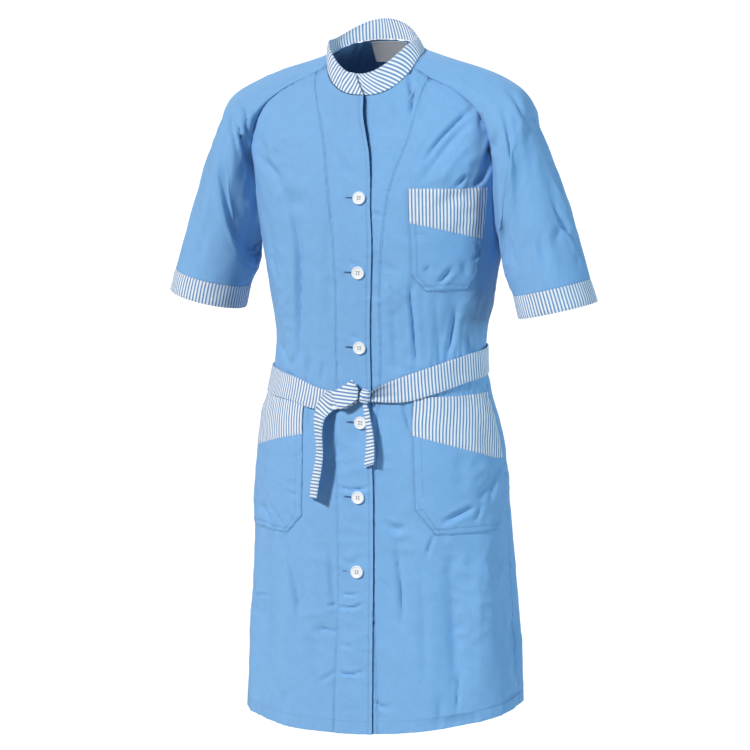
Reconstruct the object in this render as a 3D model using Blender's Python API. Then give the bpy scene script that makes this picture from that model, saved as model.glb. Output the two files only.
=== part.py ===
"""Work coat with short raglan sleeves, stand collar, striped trims and a tied belt.

Metres, +Z up. The coat faces -Y and the wearer's left is +X. The origin is on
the body's axis at the height of the collar seam over the shoulders. It keeps
the hollow form it has when worn. Every piece of cloth is a wall whose two
faces come from one surface, so that neighbours keep an even gap at a seam.
"""
import math

import bmesh
import bpy
import numpy as np
from mathutils import Matrix, Vector

CLOTH = 0.0015
TRIM_CLOTH = 0.0020
SEAM_GAP = 0.0003
VALLEY_GAP = 0.0010
LAY_GAP = 0.0004

HEM = -0.930
UNDERARM = -0.255
SEAM_LEVEL = 0.0

LAP_START = 0.0212
UNDERLAP = 0.0200
BAND_LIFT = 0.0025
GAPE = 0.0050

BUTTON_RADIUS = 0.0092
BUTTON_THICK = 0.0030
BUTTON_HOLE = 0.0010
BUTTON_HOLE_OUT = 0.0023

# Buttons from the top down; the cloth drags some of them to the side
BUTTONS = (
    # x, z
    (0.0071, -0.1815),
    (0.0035, -0.2855),
    (0.0031, -0.3920),
    (0.0078, -0.4987),
    (0.0048, -0.6047),
    (0.0032, -0.7115),
)

BELT_CLOTH = 0.0016
POCKET_FACING = math.radians(52)
COLLAR_GAP = 0.0007
COLLAR_LAP = 0.0010

# Rings of the body from hem to collar seam. The upper rings climb over the
# shoulders, so their heights differ at front, side and back.
BODY = (
    # level, z_front, z_side, z_back, half_width, y_front, y_back, lean, square, tilt, bend
    (-0.930, -0.9480, -0.932, -0.940, 0.2092, -0.130, 0.142, -0.0010, 2.15, 0.0110, 2.00),
    (-0.854, -0.854, -0.854, -0.854, 0.2060, -0.129, 0.137, -0.0010, 2.15, 0.0040, 2.00),
    (-0.746, -0.746, -0.746, -0.746, 0.1990, -0.127, 0.129, -0.0015, 2.15, 0.0000, 2.00),
    (-0.640, -0.640, -0.640, -0.640, 0.1912, -0.125, 0.121, -0.0025, 2.15, 0.0000, 2.00),
    (-0.533, -0.533, -0.533, -0.533, 0.1808, -0.122, 0.113, -0.0025, 2.15, 0.0000, 2.00),
    (-0.500, -0.500, -0.500, -0.500, 0.1745, -0.119, 0.108, -0.0035, 2.15, 0.0000, 2.00),
    (-0.465, -0.465, -0.465, -0.465, 0.1620, -0.116, 0.102, -0.0015, 2.15, 0.0000, 2.00),
    (-0.425, -0.425, -0.425, -0.425, 0.1550, -0.115, 0.098, -0.0010, 2.15, 0.0000, 2.00),
    (-0.380, -0.380, -0.380, -0.380, 0.1550, -0.117, 0.100, -0.0010, 2.15, 0.0000, 2.00),
    (-0.330, -0.330, -0.330, -0.330, 0.1640, -0.120, 0.108, -0.0010, 2.15, 0.0000, 2.00),
    (-0.290, -0.290, -0.290, -0.290, 0.1705, -0.122, 0.115, -0.0015, 2.15, 0.0000, 2.00),
    (-0.255, -0.258, -0.255, -0.255, 0.1755, -0.123, 0.119, -0.0020, 2.15, 0.0000, 2.00),
    (-0.190, -0.205, -0.175, -0.200, 0.1860, -0.121, 0.121, -0.0040, 2.20, 0.0000, 2.00),
    (-0.125, -0.155, -0.092, -0.135, 0.1900, -0.115, 0.118, -0.0050, 2.30, 0.0000, 2.00),
    (-0.070, -0.110, -0.034, -0.070, 0.1700, -0.106, 0.104, -0.0050, 2.30, 0.0000, 2.00),
    (-0.030, -0.070, 0.001, -0.010, 0.1200, -0.097, 0.075, -0.0050, 2.20, 0.0000, 1.70),
    (0.000, -0.040, 0.016, 0.036, 0.0685, -0.092, 0.036, -0.0035, 2.35, 0.0000, 1.20),
)

# Seam between body and sleeve, as angles from centre front at each level
ARMHOLE = (
    # level, front_angle, back_angle
    (-0.255, 90.0, 90.0),
    (-0.235, 79.0, 101.0),
    (-0.200, 73.0, 107.0),
    (-0.150, 68.5, 111.5),
    (-0.110, 65.0, 115.0),
    (-0.080, 62.0, 118.0),
    (-0.058, 60.5, 119.0),
    (-0.037, 59.5, 120.5),
    (-0.018, 61.0, 121.0),
    (0.000, 69.0, 119.0),
)

# Seam between front band and front panel, measured out from centre front
BAND_SEAM = (
    # level, out_left, out_right
    (-0.930, 0.0340, 0.0340),
    (-0.850, 0.0310, 0.0310),
    (-0.720, 0.0268, 0.0268),
    (-0.620, 0.0278, 0.0278),
    (-0.500, 0.0310, 0.0310),
    (-0.400, 0.0338, 0.0338),
    (-0.300, 0.0345, 0.0335),
    (-0.256, 0.0372, 0.0350),
    (-0.200, 0.0432, 0.0376),
    (-0.143, 0.0510, 0.0430),
    (-0.105, 0.0598, 0.0475),
    (-0.068, 0.0728, 0.0530),
    (-0.042, 0.0797, 0.0618),
    (-0.027, 0.0842, 0.0695),
    (-0.014, 0.0905, 0.0775),
)

# How far the upper front edge falls back where no button holds it
OPEN_EDGE = (
    # level, out
    (-0.930, 0.0252),
    (-0.800, 0.0255),
    (-0.700, 0.0264),
    (-0.610, 0.0262),
    (-0.530, 0.0232),
    (-0.470, 0.0200),
    (-0.420, 0.0183),
    (-0.360, 0.0183),
    (-0.300, 0.0208),
    (-0.230, 0.0238),
    (-0.180, 0.0228),
    (-0.110, 0.0215),
    (-0.079, 0.0185),
    (-0.052, 0.0125),
    (-0.027, 0.0070),
    (0.000, 0.0045),
)

# Largest folds of the body: a soft ridge (+) or trough (-) along a line
FOLDS = (
    # angle_a, level_a, angle_b, level_b, rise, width
    (57, -0.075, 30, -0.105, -0.0035, 0.011),
    (64, -0.165, 33, -0.190, -0.0030, 0.013),
    (60, -0.130, 38, -0.148, 0.0030, 0.014),
    (-54, -0.125, -30, -0.182, -0.0040, 0.013),
    (-27, -0.190, -33, -0.372, -0.0030, 0.015),
    (-58, -0.230, -48, -0.410, 0.0035, 0.019),
    (52, -0.300, 47, -0.415, -0.0035, 0.015),
    (24, -0.340, 22, -0.415, -0.0025, 0.013),
    (17, -0.500, 16, -0.800, -0.0035, 0.021),
    (40, -0.700, 41, -0.930, -0.0050, 0.024),
    (63, -0.680, 61, -0.930, 0.0045, 0.026),
    (84, -0.650, 88, -0.930, -0.0055, 0.023),
    (-48, -0.690, -51, -0.930, -0.0050, 0.025),
    (-30, -0.730, -28, -0.930, 0.0030, 0.024),
    (-76, -0.660, -79, -0.930, -0.0050, 0.023),
    (118, -0.110, 152, -0.175, -0.0040, 0.014),
    (-118, -0.120, -150, -0.190, -0.0040, 0.014),
    (150, -0.290, 156, -0.420, -0.0040, 0.018),
    (-148, -0.280, -155, -0.420, -0.0040, 0.018),
    (181, -0.330, 178, -0.430, -0.0040, 0.018),
    (163, -0.500, 168, -0.930, -0.0055, 0.030),
    (-166, -0.520, -170, -0.930, -0.0050, 0.030),
    (128, -0.540, 124, -0.930, -0.0050, 0.027),
    (-130, -0.560, -126, -0.930, -0.0050, 0.027),
)

# Rings of the sleeve from shoulder to cuff hem, for the wearer's left arm
SLEEVE = (
    # top_x, top_z, under_x, under_z, mid_y, half_depth, lean
    (0.2060, -0.0370, 0.1920, -0.2600, -0.004, 0.0780, -0.0045),
    (0.2330, -0.0780, 0.1900, -0.2740, -0.008, 0.0720, -0.0060),
    (0.2560, -0.1360, 0.1880, -0.2850, -0.012, 0.0670, -0.0030),
    (0.2820, -0.2080, 0.1900, -0.2970, -0.016, 0.0635, -0.0010),
    (0.3090, -0.2950, 0.2010, -0.3210, -0.020, 0.0610, -0.0005),
    (0.3185, -0.3270, 0.2085, -0.3530, -0.022, 0.0600, 0.0010),
)
CUFF_RING = 5.0
LAST_RING = 6.0
SLEEVE_GIRTH = 0.38
SHOULDER_RISE = {"left": 0.0110, "right": 0.0030}
SHOULDER_END = 1.3
SHOULDER_SPREAD = 0.13
UPPER_LEVELS = (-0.236, -0.205, -0.170, -0.135, -0.105, -0.080, -0.058, -0.040, -0.026)
NECK_FRONT, NECK_BACK = 0.43, 0.57
RING_SPACING = 0.055

# Largest folds of the sleeves; around runs 0 underarm, 0.25 front, 0.5 top
SLEEVE_FOLDS = (
    # side, around_a, ring_a, around_b, ring_b, rise, width
    (1, 0.42, 1.0, 0.34, 2.6, -0.0035, 0.010),
    (1, 0.33, 0.9, 0.27, 2.4, -0.0040, 0.010),
    (1, 0.20, 1.2, 0.13, 2.6, -0.0050, 0.011),
    (1, 0.44, 2.6, 0.47, 4.7, -0.0030, 0.010),
    (1, 0.70, 1.2, 0.82, 2.8, -0.0045, 0.012),
    (1, 0.62, 2.0, 0.66, 4.0, -0.0030, 0.012),
    (-1, 0.40, 0.9, 0.22, 2.8, -0.0050, 0.010),
    (-1, 0.30, 1.6, 0.16, 3.2, -0.0045, 0.011),
    (-1, 0.36, 2.2, 0.30, 3.8, -0.0030, 0.012),
    (-1, 0.44, 2.0, 0.48, 4.7, -0.0030, 0.010),
    (-1, 0.70, 1.2, 0.84, 2.8, -0.0045, 0.012),
    (-1, 0.62, 2.2, 0.60, 4.0, -0.0030, 0.012),
)

# Stand collar: its upper edge as a ring like those of the body
COLLAR_TOP = {"z_front": -0.010, "z_side": 0.036, "z_back": 0.066, "half_width": 0.0640,
              "y_front": -0.0775, "y_back": 0.047, "lean": -0.0120, "square": 2.05,
              "tilt": 0.0, "bend": 2.0}

# Patch pockets: edges out from centre front, heights, and the striped trim
POCKETS = (
    # name, side, out_top, out_low, far_angle, top, trim_near, trim_far, bottom, bevel_out, bevel_up
    ("chest_pocket", 1, 0.0755, 0.0775, 66.5, -0.1670, -0.2150, -0.2400, -0.3110, 0.016, 0.022),
    ("hip_pocket_left", 1, 0.0780, 0.0865, 86.0, -0.4610, -0.5150, -0.5590, -0.6560, 0.022, 0.036),
    ("hip_pocket_right", -1, 0.0830, 0.0840, 86.0, -0.4735, -0.5200, -0.5590, -0.6660, 0.022, 0.028),
)

# Belt on its way round, from the knot past the wearer's left side and back
BELT = (
    # angle, z_mid, half_wide, out
    (6.4, -0.4611, 0.0074, 0.0048),
    (10.0, -0.4574, 0.0112, 0.0044),
    (14.0, -0.4546, 0.0140, 0.0040),
    (22.0, -0.4500, 0.0178, 0.0036),
    (38.0, -0.4380, 0.0195, 0.0032),
    (57.0, -0.4265, 0.0195, 0.0028),
    (90.0, -0.4185, 0.0195, 0.0024),
    (135.0, -0.4210, 0.0195, 0.0022),
    (180.0, -0.4300, 0.0195, 0.0022),
    (225.0, -0.4420, 0.0195, 0.0022),
    (262.0, -0.4500, 0.0195, 0.0024),
    (300.0, -0.4545, 0.0190, 0.0034),
    (323.0, -0.4580, 0.0174, 0.0036),
    (340.0, -0.4680, 0.0152, 0.0036),
    (352.0, -0.4690, 0.0120, 0.0038),
    (360.2, -0.4640, 0.0075, 0.0040),
)

# Loop and tails of the bow: two edges at each step, with height off the coat
LOOP = (
    # upper_x, upper_z, lower_x, lower_z, out
    (0.0046, -0.4510, 0.0040, -0.4640, 0.0150),
    (0.0034, -0.4468, -0.0060, -0.4725, 0.0165),
    (0.0004, -0.4420, -0.0187, -0.4790, 0.0168),
    (-0.0022, -0.4392, -0.0275, -0.4690, 0.0162),
    (-0.0044, -0.4377, -0.0329, -0.4572, 0.0140),
    (-0.0034, -0.4405, -0.0362, -0.4670, 0.0114),
    (-0.0006, -0.4440, -0.0330, -0.4765, 0.0106),
    (0.0024, -0.4490, -0.0140, -0.4800, 0.0106),
    (0.0044, -0.4550, 0.0036, -0.4680, 0.0112),
)
TAIL_RIGHT = (
    # a_x, a_z, a_out, b_x, b_z, b_out
    (0.0036, -0.4560, 0.0082, 0.0036, -0.4680, 0.0082),
    (-0.0130, -0.4530, 0.0084, -0.0110, -0.4755, 0.0084),
    (-0.0310, -0.4530, 0.0086, -0.0240, -0.4795, 0.0086),
    (-0.0478, -0.4600, 0.0078, -0.0335, -0.4845, 0.0084),
    (-0.0571, -0.4759, 0.0070, -0.0370, -0.4905, 0.0150),
    (-0.0604, -0.4932, 0.0056, -0.0385, -0.4965, 0.0210),
    (-0.0603, -0.5100, 0.0046, -0.0398, -0.5103, 0.0240),
    (-0.0581, -0.5324, 0.0044, -0.0393, -0.5296, 0.0250),
    (-0.0578, -0.5465, 0.0044, -0.0385, -0.5445, 0.0250),
    (-0.0611, -0.5667, 0.0044, -0.0406, -0.5640, 0.0245),
    (-0.0655, -0.5886, 0.0046, -0.0444, -0.5854, 0.0240),
    (-0.0667, -0.6102, 0.0050, -0.0482, -0.6073, 0.0230),
)
TAIL_LEFT = (
    (0.0107, -0.4723, 0.0075, 0.0166, -0.4720, 0.0105),
    (0.0134, -0.4828, 0.0080, 0.0212, -0.4807, 0.0125),
    (0.0169, -0.4968, 0.0080, 0.0250, -0.4946, 0.0140),
    (0.0185, -0.5136, 0.0078, 0.0285, -0.5114, 0.0148),
    (0.0171, -0.5360, 0.0070, 0.0300, -0.5321, 0.0150),
    (0.0147, -0.5600, 0.0070, 0.0295, -0.5542, 0.0145),
)
KNOT = {"x": 0.0130, "z": -0.4605, "half_wide": 0.0076, "half_high": 0.0112, "half_deep": 0.0065,
        "out": 0.0094, "turn": 10.0}

BLUE = (0.245, 0.470, 0.790)
STRIPE_MEAN = (0.660, 0.770, 0.900)
WHITE = (0.880, 0.890, 0.900)


def curve(table, column, at):
    """Smooth curve through one column of a table, by the slopes at its rows."""
    rows = np.asarray(table, float)
    knots, values = rows[:, 0], rows[:, column]
    slopes = np.gradient(values, knots)
    at = np.clip(np.asarray(at, float), knots[0], knots[-1])
    row = np.clip(np.searchsorted(knots, at, "right") - 1, 0, len(knots) - 2)
    step = knots[row + 1] - knots[row]
    u = (at - knots[row]) / step
    ends = (2 * u**3 - 3 * u**2 + 1) * values[row] + (3 * u**2 - 2 * u**3) * values[row + 1]
    return ends + step * ((u**3 - 2 * u**2 + u) * slopes[row] + (u**3 - u**2) * slopes[row + 1])


def smooth(value, start, end):
    """0 at start, 1 at end, with soft shoulders."""
    u = np.clip((np.asarray(value, float) - start) / (end - start), 0, 1)
    return u * u * (3 - 2 * u)


def oval(angle, z_front, z_side, z_back, half_width, y_front, y_back, lean, square,
         tilt, bend):
    """Point of a superellipse ring whose height changes from front to side to back."""
    c, s = np.cos(np.radians(angle)), np.sin(np.radians(angle))
    middle, half_depth = (y_front + y_back) / 2, (y_back - y_front) / 2
    x = half_width * np.sign(s) * np.abs(s) ** (2 / square) + lean
    y = middle - half_depth * np.sign(c) * np.abs(c) ** (2 / square)
    share = np.abs(c) ** bend
    z = z_side * (1 - share) + np.where(c > 0, z_front, z_back) * share + tilt * s
    return np.stack([x, y, z], -1)


def body(angle, level):
    """Plain body surface: angle in degrees from centre front to the wearer's left."""
    angle, level = np.broadcast_arrays(np.asarray(angle, float), np.asarray(level, float))
    return oval(angle, *(curve(BODY, column, level) for column in range(1, 11)))


def normals(surface, u, v, du, dv):
    """Unit normals of surface(u, v) from small steps both ways."""
    across = surface(u + du, v) - surface(u - du, v)
    along = surface(u, v + dv) - surface(u, v - dv)
    n = np.cross(across, along)
    return n / np.linalg.norm(n, axis=-1, keepdims=True)


def line_fold(p, q, a, b, rise, width):
    """Soft ridge along the line a-b in a flat chart, fading out at both ends."""
    a, b = np.array(a), np.array(b)
    run = b - a
    length = np.hypot(*run)
    along = ((p - a[0]) * run[0] + (q - a[1]) * run[1]) / length**2
    off = np.hypot(p - a[0] - np.clip(along, 0, 1) * run[0], q - a[1] - np.clip(along, 0, 1) * run[1])
    return rise * np.exp(-((off / width) ** 2)) * (0.45 + 0.55 * np.sin(np.pi * np.clip(along, 0, 1)))


def body_relief(angle, level):
    """Height of all folds: the table's lines and the gathers above and below the belt."""
    turn = (angle + 180) % 360 - 180
    metres_per_degree = 0.0028
    total = np.zeros(np.broadcast(angle, level).shape)
    for angle_a, level_a, angle_b, level_b, rise, width in FOLDS:
        middle = (angle_a + angle_b) / 2
        near = (turn - middle + 180) % 360 - 180 + middle
        total = total + line_fold(near * metres_per_degree, level,
                                  (angle_a * metres_per_degree, level_a),
                                  (angle_b * metres_per_degree, level_b), rise, width)
    waves = np.cos(np.radians(9 * turn)) + 0.5 * np.cos(np.radians(5 * turn + 40))
    waist = np.exp(-(((level + 0.440) / 0.050) ** 2))
    flat_front = smooth(np.abs(turn), 14, 40)
    return total + 0.0016 * waves * waist * flat_front


def coat(angle, level):
    """Outer face of the body's cloth, with its folds."""
    angle, level = np.broadcast_arrays(np.asarray(angle, float), np.clip(level, HEM, SEAM_LEVEL))
    relief = body_relief(angle, level)[..., None]
    return body(angle, level) + relief * normals(body, angle, level, 0.2, 0.0005)


def coat_normal(angle, level):
    angle, level = np.broadcast_arrays(np.asarray(angle, float), np.asarray(level, float))
    return normals(coat, angle, level, 0.6, 0.0015)


def angle_at(out, level):
    """Angle where the ring of this level is `out` to the side of centre front."""
    half_width, square = curve(BODY, 4, level), curve(BODY, 8, level)
    return np.degrees(np.arcsin(np.sign(out) * np.clip(np.abs(out) / half_width, 0, 1) ** (square / 2)))


def level_at(angle, z):
    """Level whose ring passes height z at this angle."""
    angle, z = np.broadcast_arrays(np.asarray(angle, float), np.asarray(z, float))
    level = z.copy()
    for _ in range(25):
        level = np.clip(level + 0.8 * (z - body(angle, level)[..., 2]), HEM, SEAM_LEVEL)
    return level


def degrees_for(distance, angle, level):
    """Turn of the angle that covers this distance along the ring."""
    step = body(angle + 0.5, level) - body(angle - 0.5, level)
    return distance / np.linalg.norm(step, axis=-1)


def armhole(column, level):
    return curve(ARMHOLE, column, level)


def band_seam(side, level):
    """Angle of the seam between band and panel, on its own side."""
    return angle_at(curve(BAND_SEAM, 1 if side > 0 else 2, level), level)


def band_outer(side, level):
    """Outer edge of a front band: its seam, then the saddle seam near the neck."""
    return np.minimum(band_seam(side, level), armhole(1, level))


def front_lift(angle, level):
    """How far the wearer's right band stands off to cover the left one."""
    out = curve(BODY, 4, level) * np.sin(np.radians(angle))
    lap = BAND_LIFT * smooth(out, -0.0300, -LAP_START)
    open_top = GAPE * smooth(level, -0.170, -0.020) * smooth(out, -0.012, 0.010)
    return lap + open_top


def collection(name):
    group = bpy.data.collections.new(name)
    bpy.context.scene.collection.children.link(group)
    return group


def material(name, colour, roughness):
    """Plain Principled material of one colour."""
    made = bpy.data.materials.new(name)
    made.use_nodes = True
    shader = made.node_tree.nodes["Principled BSDF"]
    shader.inputs["Base Color"].default_value = (*colour, 1.0)
    shader.inputs["Roughness"].default_value = roughness
    shader.inputs["Metallic"].default_value = 0.0
    made.diffuse_color = (*colour, 1.0)
    return made


def add_object(name, mesh, look, group):
    made = bpy.data.objects.new(name, mesh)
    mesh.materials.append(look)
    group.objects.link(made)
    return made


def wall(name, outer, inner, look, group):
    """Closed wall between two grids of points, both cut along the same diagonals."""
    rows, columns = outer.shape[:2]
    count = rows * columns
    index = np.arange(count).reshape(rows, columns)
    low, low_next = index[:-1, :-1].ravel(), index[:-1, 1:].ravel()
    high, high_next = index[1:, :-1].ravel(), index[1:, 1:].ravel()
    face = np.concatenate([np.stack([low, low_next, high_next], -1), np.stack([low, high_next, high], -1)])
    loop = np.concatenate([index[0, :-1], index[:-1, -1], index[-1, :0:-1], index[:0:-1, 0]])
    after = np.roll(loop, -1)
    rim = np.concatenate([np.stack([after, loop, loop + count], -1),
                          np.stack([after, loop + count, after + count], -1)])
    faces = np.concatenate([face, face[:, ::-1] + count, rim])
    mesh = bpy.data.meshes.new(name)
    points = np.concatenate([outer.reshape(-1, 3), inner.reshape(-1, 3)])
    mesh.from_pydata(points.tolist(), [], faces.tolist())
    mesh.shade_smooth()
    mesh.set_sharp_from_angle(angle=math.radians(40))
    return add_object(name, mesh, look, group)


def body_wall(name, angle, level, look, group, out=0.0, thick=CLOTH):
    """Wall of cloth on the coat: outer face `out` above it, thickness inward."""
    surface, normal = coat(angle, level), coat_normal(angle, level)
    out = np.broadcast_to(out, angle.shape)[..., None]
    return wall(name, surface + out * normal, surface + (out - thick) * normal, look, group)


def levels_between(low, high, spacing):
    return np.linspace(low, high, max(2, round((high - low) / spacing) + 1))


def panel_tip(side):
    """Level at which a front panel runs out between band seam and saddle seam."""
    scan = np.linspace(-0.05, SEAM_LEVEL, 101)
    room = armhole(1, scan) - band_seam(side, scan)
    return scan[room > 3.0].max()


def armhole_levels():
    return np.array([*UPPER_LEVELS, *sorted((panel_tip(1), panel_tip(-1)))])


def body_levels(top):
    """Levels of the panels' rows: even below the underarm, closer above it."""
    lower = levels_between(HEM, UNDERARM - SEAM_GAP, 0.034)
    upper = armhole_levels()
    return np.concatenate([lower, upper[upper < top - 0.001], [top]])


def band_angles(side, level):
    """Columns of a front band at these levels, the same ones where the two bands overlap."""
    seam = band_outer(side, level)
    seam = seam - degrees_for(SEAM_GAP, seam, level)
    edge = angle_at(curve(OPEN_EDGE, 1, level), level)
    lap, under = angle_at(LAP_START, level), angle_at(UNDERLAP, level)
    shared = [edge - (edge + lap) * share for share in (2 / 3, 1 / 3, 0)]
    if side < 0:
        return np.concatenate([-lap - (seam - lap) * share for share in (1, 2 / 3, 1 / 3, 0)] + shared, 1)
    return np.concatenate([-under] + shared + [edge + (seam - edge) * share for share in (1 / 3, 2 / 3, 1)], 1)


def back_angles(level):
    """Columns of the back at these levels, from its left to its right edge."""
    start = np.where(level < UNDERARM, 90.0, armhole(2, level))
    start = start + degrees_for(2 * SEAM_GAP, start, level)
    return start + (360 - 2 * start) * np.linspace(0, 1, 19)


def front_band(name, side, look, group):
    """Band along the front edge; the wearer's right one lies on top."""
    level = body_levels(SEAM_LEVEL - SEAM_GAP)[:, None]
    angle = band_angles(side, level)
    out = front_lift(angle, level) if side < 0 else 0.0
    body_wall(name, angle, level + 0 * angle, look, group, out)


def panel_grid(side):
    """Angles and levels of a front panel, from the band seam to the side and saddle seams."""
    level = body_levels(panel_tip(side))[:, None]
    inner = band_seam(side, level)
    outer = np.where(level < UNDERARM, 90.0, armhole(1, level))
    inner = inner + degrees_for(SEAM_GAP, inner, level)
    outer = outer - degrees_for(VALLEY_GAP, outer, level)
    share = np.linspace(0, 1, 9)[None, :]
    angle = inner + (outer - inner) * share
    if side < 0:
        angle = -angle[:, ::-1]
    return angle, level + 0 * angle


def front_panel(name, side, look, group):
    body_wall(name, *panel_grid(side), look, group)


def back_panel(look, group):
    """Whole back in one piece, from side seam to side seam and up to the collar."""
    level = body_levels(SEAM_LEVEL - SEAM_GAP)[:, None]
    angle = back_angles(level)
    body_wall("back", angle, level + 0 * angle, look, group)


def armhole_point(around):
    """Angle and level on the body of the sleeve's seam ring, and back again."""
    level = np.where(around < 0.5, np.interp(around, [0, NECK_FRONT], [UNDERARM, SEAM_LEVEL]),
                     np.interp(around, [NECK_BACK, 1], [SEAM_LEVEL, UNDERARM]))
    neck = np.interp(around, [NECK_FRONT, NECK_BACK], [ARMHOLE[-1][1], ARMHOLE[-1][2]])
    angle = np.where(around < NECK_FRONT, armhole(1, level),
                     np.where(around > NECK_BACK, armhole(2, level), neck))
    return angle, level


def sleeve_rings(around, side):
    """All rings of the sleeve at these places around, the armhole seam first."""
    angle, level = armhole_point(around)
    rings = [coat(side * angle, level)]
    turn = 2 * np.pi * around[..., None]
    for top_x, top_z, under_x, under_z, mid_y, half_depth, lean in SLEEVE:
        middle = np.array([(top_x + under_x) / 2, mid_y, (top_z + under_z) / 2])
        reach = np.array([(top_x - under_x) / 2, 0, (top_z - under_z) / 2])
        ring = middle - np.cos(turn) * reach - np.sin(turn) * np.array([0, half_depth, 0])
        rings.append(ring * np.array([side, 1, 1]) + np.array([lean, 0, 0]))
    first, last = 2 * rings[0] - rings[1], 2 * rings[-1] - rings[-2]
    return np.stack([first, *rings, last])


def plain_sleeve(around, ring, side):
    """Sleeve surface: smooth run through the rings at each place around."""
    around, ring = np.broadcast_arrays(around % 1.0, np.clip(ring, 0, LAST_RING))
    rings = sleeve_rings(around, side)
    k = np.clip(ring.astype(int), 0, len(SLEEVE) - 1)
    u = (ring - k)[..., None]
    before, start, end, after = (np.take_along_axis(rings, (k + j)[None, ..., None], 0)[0] for j in range(4))
    point = 0.5 * (2 * start + (end - before) * u + (2 * before - 5 * start + 4 * end - after) * u**2
                   + (3 * start - before - 3 * end + after) * u**3)
    arch = np.sin(np.pi * np.clip(ring / SHOULDER_END, 0, 1)) * np.exp(-(((around - 0.5) / SHOULDER_SPREAD) ** 2))
    point[..., 2] += SHOULDER_RISE["left" if side > 0 else "right"] * arch
    return point


def sleeve_relief(around, ring, side):
    total = np.zeros(np.broadcast(around, ring).shape)
    for fold_side, around_a, ring_a, around_b, ring_b, rise, width in SLEEVE_FOLDS:
        if fold_side == side:
            total = total + line_fold(around % 1.0 * SLEEVE_GIRTH, ring * RING_SPACING,
                                      (around_a * SLEEVE_GIRTH, ring_a * RING_SPACING),
                                      (around_b * SLEEVE_GIRTH, ring_b * RING_SPACING), rise, width)
    return total * smooth(ring, 0.2, 1.0) * smooth(ring, LAST_RING, CUFF_RING - 1)


def sleeve(around, ring, side):
    """Outer face of the sleeve, with its folds and its normals, square to the seam."""
    def plain(a, r):
        return plain_sleeve(a, r, side)
    def folded(a, r):
        r = np.clip(r, 0, LAST_RING)
        return plain(a, r) + side * sleeve_relief(a, r, side)[..., None] * normals(plain, a, r, 0.002, 0.01)
    around, ring = np.broadcast_arrays(around, ring)
    normal = -side * normals(folded, around, ring, 0.004, 0.02)
    angle, level = armhole_point(around % 1.0)
    seam_normal = coat_normal(side * angle, level)
    mix = smooth(ring, 0.0, 0.35)[..., None]
    normal = seam_normal * (1 - mix) + normal * mix
    normal = normal / np.linalg.norm(normal, axis=-1, keepdims=True)
    return folded(around, ring), normal


def sleeve_wall(name, around, ring, side, look, group, out=0.0, thick=CLOTH):
    """Wall on the sleeve, its first ring pushed clear of the armhole seam."""
    around, ring = np.broadcast_arrays(around[None, :], ring[:, None])
    surface, normal = sleeve(around, ring, side)
    if ring[0, 0] == 0:
        run = plain_sleeve(around[0], np.full(around[0].shape, 0.05), side) - surface[0]
        surface[0] += SEAM_GAP * run / np.linalg.norm(run, axis=-1, keepdims=True)
    outer, inner = surface + out * normal, surface + (out - thick) * normal
    if side > 0:
        outer, inner = outer[:, ::-1], inner[:, ::-1]
    return wall(name, outer, inner, look, group)


def sleeve_halves(side, word, look, group):
    """Front and back half of a sleeve, with seams over and under the arm."""
    gap = SEAM_GAP / 2 / SLEEVE_GIRTH
    ring = np.array([0, 0.25, 0.55, 0.9, 1.3, 1.8, 2.3, 2.8, 3.4, 4.0, 4.5, CUFF_RING - SEAM_GAP / 0.033])
    front = np.interp(armhole_levels(), [UNDERARM, SEAM_LEVEL], [0, NECK_FRONT])
    front = np.concatenate([[gap], front, [NECK_FRONT, (NECK_FRONT + 0.5) / 2, 0.5 - gap]])
    for half, around in (("front", front), ("back", 1 - front[::-1])):
        sleeve_wall(f"sleeve_{word}_{half}", around, ring, side, look, group)


def cuff(side, word, look, group):
    """Striped band round the sleeve's end, closed at the underarm seam."""
    gap = SEAM_GAP / 2 / SLEEVE_GIRTH
    around = np.linspace(gap, 1 - gap, 25)
    ring = np.array([CUFF_RING, (CUFF_RING + LAST_RING) / 2, LAST_RING])
    sleeve_wall(f"cuff_{word}", around, ring, side, look, group, out=0.0004, thick=TRIM_CLOTH)


def collar(look, group):
    """One band round the neck over the pieces' own columns; its right end lies on top."""
    top_level = np.array([[SEAM_LEVEL - SEAM_GAP]])
    shoulder = armhole_point(np.array([0.25, 0.5, 0.75]) * (NECK_BACK - NECK_FRONT) + NECK_FRONT)[0][None, :]
    angle = np.concatenate([band_angles(1, top_level), shoulder, back_angles(top_level),
                            360 - shoulder[:, ::-1], 360 + band_angles(-1, top_level)], 1)
    up = np.array([0, 0.33, 0.67, 1.0])[:, None]
    right_end = smooth(angle, 318, 343)
    left_end = 1 - smooth(angle, 2, 24)
    angle = angle + np.where(angle > 180, -5.0, 2.0) * up * (right_end + left_end)
    away = np.stack([np.sin(np.radians(angle)), -np.cos(np.radians(angle)), 0 * angle], -1)
    lift = (front_lift(angle - 360, SEAM_LEVEL) + COLLAR_LAP) * right_end
    seam = coat(angle, SEAM_LEVEL) + lift[..., None] * coat_normal(angle, SEAM_LEVEL)
    top = oval(angle, **COLLAR_TOP) + lift[..., None] * away
    outer = seam + (top - seam) * up[..., None]
    outer[..., 2] += COLLAR_GAP * (1 - up)
    wall("collar", outer, outer - TRIM_CLOTH * away, look, group)


def label(look, group):
    """Bare woven label hanging from the collar seam inside the back."""
    out = np.linspace(0.027, -0.027, 5)[None, :]
    level = np.linspace(-0.0205, -0.0010, 4)[:, None]
    angle = 180 - angle_at(out, level)
    surface, normal = coat(angle, level + 0 * angle), coat_normal(angle, level + 0 * angle)
    inside = CLOTH + 0.0009
    wall("label", surface - inside * normal, surface - (inside + 0.001) * normal, look, group)


def pocket_facing(side):
    """Directions along a pocket, away from centre front, and out of its face."""
    c, n = math.cos(POCKET_FACING), math.sin(POCKET_FACING)
    return np.array([side * c, n, 0]), np.array([side * n, -c, 0])


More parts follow.
